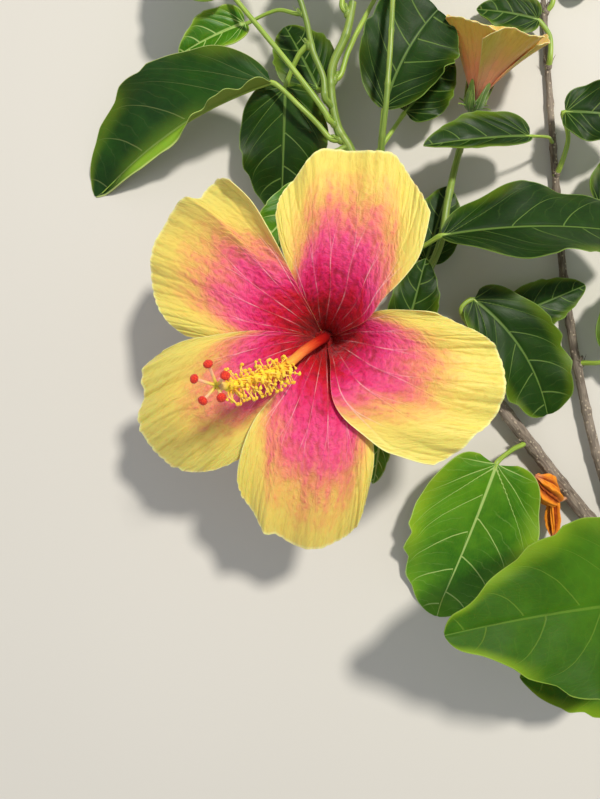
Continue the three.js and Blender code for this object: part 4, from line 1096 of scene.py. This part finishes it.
def add_bell(form, length, radius, lobe, foot_radius, flare=1.14):
    """A bell of five fused sepals whose free lobes come to points and curl out a little."""
    outline = Line([(foot_radius, 0), (radius * 0.62, length * 0.07), (radius * 0.86, length * 0.2),
                    (radius, length * 0.45), (radius * 1.05, length * 0.75), (radius * flare, length)], 0)

    def place(u, v):
        turn = 2 * np.pi * u
        point_share = (0.5 + 0.5 * np.cos(5 * turn)) ** 0.8
        rise = v * (1 - lobe / length * (1 - point_share) * v)
        profile = outline.at(rise)
        curl = 0.9 * point_share * smooth(v, 0.7, 1.0)
        ridge = 1 + 0.025 * np.cos(5 * turn) + 0.012 * np.cos(15 * turn)
        height = profile[:, 1] * (1 + 0.06 * point_share * v)
        return around(turn, profile[:, 0] * ridge + curl, height), np.stack([u, v, v], axis=1)

    bmesh.ops.remove_doubles(form, verts=add_grid(form, place, *BELL_GRID), dist=1e-4)


def add_bracts(form, count, length, ring, rise, half_width, spread):
    """A ring of narrow bracts that stand out under a calyx, spread by so many radians."""
    for index in range(count):
        turn = 2 * math.pi * index / count + 0.3
        out = np.array([math.cos(turn), math.sin(turn), 0])
        beside = np.array([-math.sin(turn), math.cos(turn), 0])
        lean = spread * (1 + 0.12 * math.sin(index * 2.7))

        def place(u, v):
            t = 2 * u - 1
            bow = lean * (0.75 + 0.5 * v)
            reach = ring + v * length * np.sin(bow)
            height = rise + v * length * np.cos(bow)
            width = half_width * (1 - v) ** 0.6 * (0.7 + 0.6 * v)
            fold = 0.25 * np.abs(t) * width
            point = out * (reach - fold)[:, None] + beside * (t * width)[:, None] + UP * height[:, None]
            return point, np.stack([0.033 + 0.02 * t, v, v], axis=1)

        add_grid(form, place, 6, 14)


green_calyx = calyx_finish("calyx_down", "#7c9c3a", "#44661e")
calyx_foot = Vector((0, 0, THROAT_HEIGHT - FUNNEL_DEPTH - CALYX_LENGTH + 3.6))


def add_calyx(name, node, foot, axis, bell, bracts):
    form = new_form()
    add_bell(form, *bell)
    add_bracts(form, *bracts)
    thicken(form, SEPAL_SHEET)
    form.transform(upright(foot, axis))
    add_piece(form, name, green_calyx, "calyx_green", node)


add_calyx("calyx_sepals", "calyx", calyx_foot, UP,
          (CALYX_LENGTH + 2, CALYX_RADIUS + 1, 5, 1.6), (7, 12, 2.4, 0.6, 1.1, 0.75))

flower_stalk = Line([*main_stem.seated_path((10.6, 87.5, 24.3), [
    (-4, 80, 25), (-8.5, 66, 23.5), (-6, 42, 19), (-2, 16, 13), (-0.4, 4, 14.5), calyx_foot,
])])
form = new_form()
add_tube(form, flower_stalk, lambda s: 1.3 + 0.7 * np.exp(-s * 60) + 0.9 * smooth(s, 0.97, 1.0), 14, 150)
add_piece(form, "flower_stalk_skin", shoot, "stem_green", "flower_stalk")


# The second bloom is half open and seen from its side: five overlapping petals, peach with a yellow
# margin, that spread out of a small calyx.
YOUNG_LENGTH = 31
YOUNG_RADIUS = 23.5
YOUNG_SEAT = 4.5
YOUNG_GRID = (76, 44)
YOUNG_HALF_ANGLE = math.radians(50)
young_profile = Line([(1.6, 0), (4.0, YOUNG_LENGTH * 0.16), (YOUNG_RADIUS * 0.34, YOUNG_LENGTH * 0.38),
                      (YOUNG_RADIUS * 0.6, YOUNG_LENGTH * 0.65), (YOUNG_RADIUS, YOUNG_LENGTH)], 0)
young_finish = petal_finish("petal_peach_soft", [
    (0.0, "#dc8260"), (0.25, "#e89c74"), (0.45, "#eaa970"), (0.65, "#e4b662"), (0.82, "#dcbe56"),
    (1.0, "#d2bc4e"),
], "#f0b88a", "#e6b274", (6, 22, 32), 0.2, 0.15)


def add_young_petal(form, index):
    middle = 2 * math.pi * index / 5

    def place(u, v):
        t = 2 * u - 1
        rounded = 1 - 0.15 * np.abs(t) ** 3 + 0.02 * np.cos(7 * t + index)
        profile = young_profile.at(v * rounded)
        ruffle = 1.2 * v ** 3 * np.sin(2 * np.pi * 1.8 * u + 1.9 * index)
        ruffle = ruffle + 0.25 * v ** 6 * np.sin(2 * np.pi * 9 * u)
        pleat = 0.12 * (smooth(vein_gap(u, v), 0, 0.08) - 0.5) * smooth(v, 0.3, 0.8)
        reach = profile[:, 0] - 0.9 * t * smooth(v, 0.05, 0.4) + ruffle + pleat
        point = around(middle + t * YOUNG_HALF_ANGLE, reach, profile[:, 1] - 0.5 * ruffle)
        level = v + 0.2 * np.abs(t) ** 3 * smooth(v, 0.2, 0.7)
        return point, np.stack([u, level, v], axis=1)

    add_grid(form, place, *YOUNG_GRID)


form = new_form()
for index in range(5):
    add_young_petal(form, index)
thicken(form, PETAL_SHEET)
form.transform(upright(YOUNG_FOOT + YOUNG_AXIS * YOUNG_SEAT, YOUNG_AXIS))
add_piece(form, "second_bloom_sheets", young_finish, "petal_peach", "second_bloom_petals")
add_calyx("second_bloom_sepals", "second_bloom_calyx", YOUNG_FOOT, YOUNG_AXIS,
          (13, 5.2, 8, 1.6, 1.1), (6, 7, 2.0, 0.5, 0.7, 0.9))


# The closed bud at the end of its stalk: petals furled in a spiral cone that stands out of a calyx.
BUD_LENGTH = 26
BUD_RADIUS = 4.6
BUD_GRID = (80, 60)
bud_profile = Line([(0.02, 0), (BUD_RADIUS * 0.5, 0.3), (BUD_RADIUS, BUD_LENGTH * 0.18),
                    (BUD_RADIUS * 0.95, BUD_LENGTH * 0.45), (BUD_RADIUS * 0.75, BUD_LENGTH * 0.7),
                    (BUD_RADIUS * 0.4, BUD_LENGTH * 0.92), (0.02, BUD_LENGTH)], 0)


def furled(u, v):
    profile = bud_profile.at(v)
    spiral = (5 * u + 2.2 * v) % 1
    reach = profile[:, 0] * (0.93 + 0.12 * spiral ** 2 * smooth(v, 0.2, 0.5))
    return around(2 * np.pi * u, reach, profile[:, 1]), np.stack([spiral, 0.35 + 0.6 * v, v], axis=1)


bud_end, bud_way = bud_stalk.at(1), bud_stalk.along(1)
form = new_form()
close_up(form, add_grid(form, furled, *BUD_GRID))
form.transform(upright(bud_end, bud_way))
add_piece(form, "closed_bud_petals", young_finish, "calyx_green", "closed_bud")
add_calyx("closed_bud_sepals", "closed_bud", bud_end, bud_way,
          (15, BUD_RADIUS * 1.02, 5, 1.3, 0.9), (7, 7, 1.6, 0.2, 0.7, 0.55))


# The withered bloom low on the main stem: dry orange petals, shrunk into one broad twisted flap that
# stands off to the side and one thin roll, pink at its end, that hangs past it.
WITHERED_TWIST = 2.2
WITHERED_GRID = (120, 70)
FLAP_AXIS = Vector((-0.62, 0.66, 0.36)).normalized()
FLAP_LENGTH = 19
FLAP_RADIUS = 5.4
ROLL_AXIS = Vector((-0.03, -0.98, -0.08)).normalized()
ROLL_LENGTH = 19
ROLL_RADIUS = 2.6


def add_shrivelled(form, length, radius, foot, axis, depth):
    """A closed twisted roll whose sides are creased lengthwise."""
    shares = [(0.7, 0.12), (0.9, 0.3), (1, 0.55), (0.75, 0.8), (0.3, 0.96)]
    waist = [(radius * reach, length * height) for reach, height in shares]
    profile = Line([(0.05, 0), (radius * 0.45, 0.3), *waist, (0.05, length)], 0)

    def place(u, v):
        turn = 2 * np.pi * u
        outline = profile.at(v)
        twist = WITHERED_TWIST * v
        crease = 1 + depth * np.cos(5 * turn + 2 * twist)
        crease = crease + 0.5 * depth * np.cos(13 * turn + 5 * twist + 3 * v)
        crease = crease + 0.05 * np.sin(23 * turn - 9 * v) * smooth(v, 0.3, 0.8)
        return around(turn, outline[:, 0] * crease, outline[:, 1]), np.stack([crease, v, u], axis=1)

    verts = add_grid(form, place, *WITHERED_GRID)
    close_up(form, verts)
    kept = [vert for vert in verts if vert.is_valid]
    bmesh.ops.transform(form, verts=kept, matrix=upright(foot, axis))


def withered_finish():
    dry = Finish("withered_dry", Roughness=0.7, Specular_IOR_Level=0.3, Subsurface_Weight=0.1,
                 Subsurface_Scale=0.002)
    crease, rise = dry.parts(dry.grain())[:2]
    mottled = dry.noise(dry.place(), 420, 4)
    # Painted shade and light: the petals are darker down in their creases and brighter on the ridges
    # between them.
    base = dry.mix(dry.fade(crease, 0.8, 1.22), "#9a4210", "#f0921e")
    base = dry.mix(dry.fade(mottled, 0.45, 0.7, 0.0, 0.6), base, "#d8741b")
    base = dry.mix(dry.fade(rise, 0.8, 1.0, 0.0, 0.7), base, "#d08a6e")
    return dry.use(base, dry.bump(mottled, 0.4))


wither_path = main_stem.seated_path((116.5, -70, 5.5), [(108.4, -71.7, 9.5)])
wither_foot = Vector(wither_path[-1])
form = new_form()
add_shrivelled(form, FLAP_LENGTH, FLAP_RADIUS, wither_foot - FLAP_AXIS * 1.5, FLAP_AXIS, 0.24)
add_shrivelled(form, ROLL_LENGTH, ROLL_RADIUS, wither_foot - ROLL_AXIS * 1.5, ROLL_AXIS, 0.34)
add_piece(form, "withered_petals", withered_finish(), "withered_orange", "withered_bloom")
form = new_form()
add_tube(form, Line(wither_path), lambda s: 0.9 + 0.5 * np.exp(-s * 8), 12, 24)
pink_stalk = shoot_finish("withered_stalk_skin", "#d09a78", "#a87850", 0.6)
add_piece(form, "withered_stalk", pink_stalk, "withered_orange", "withered_bloom")
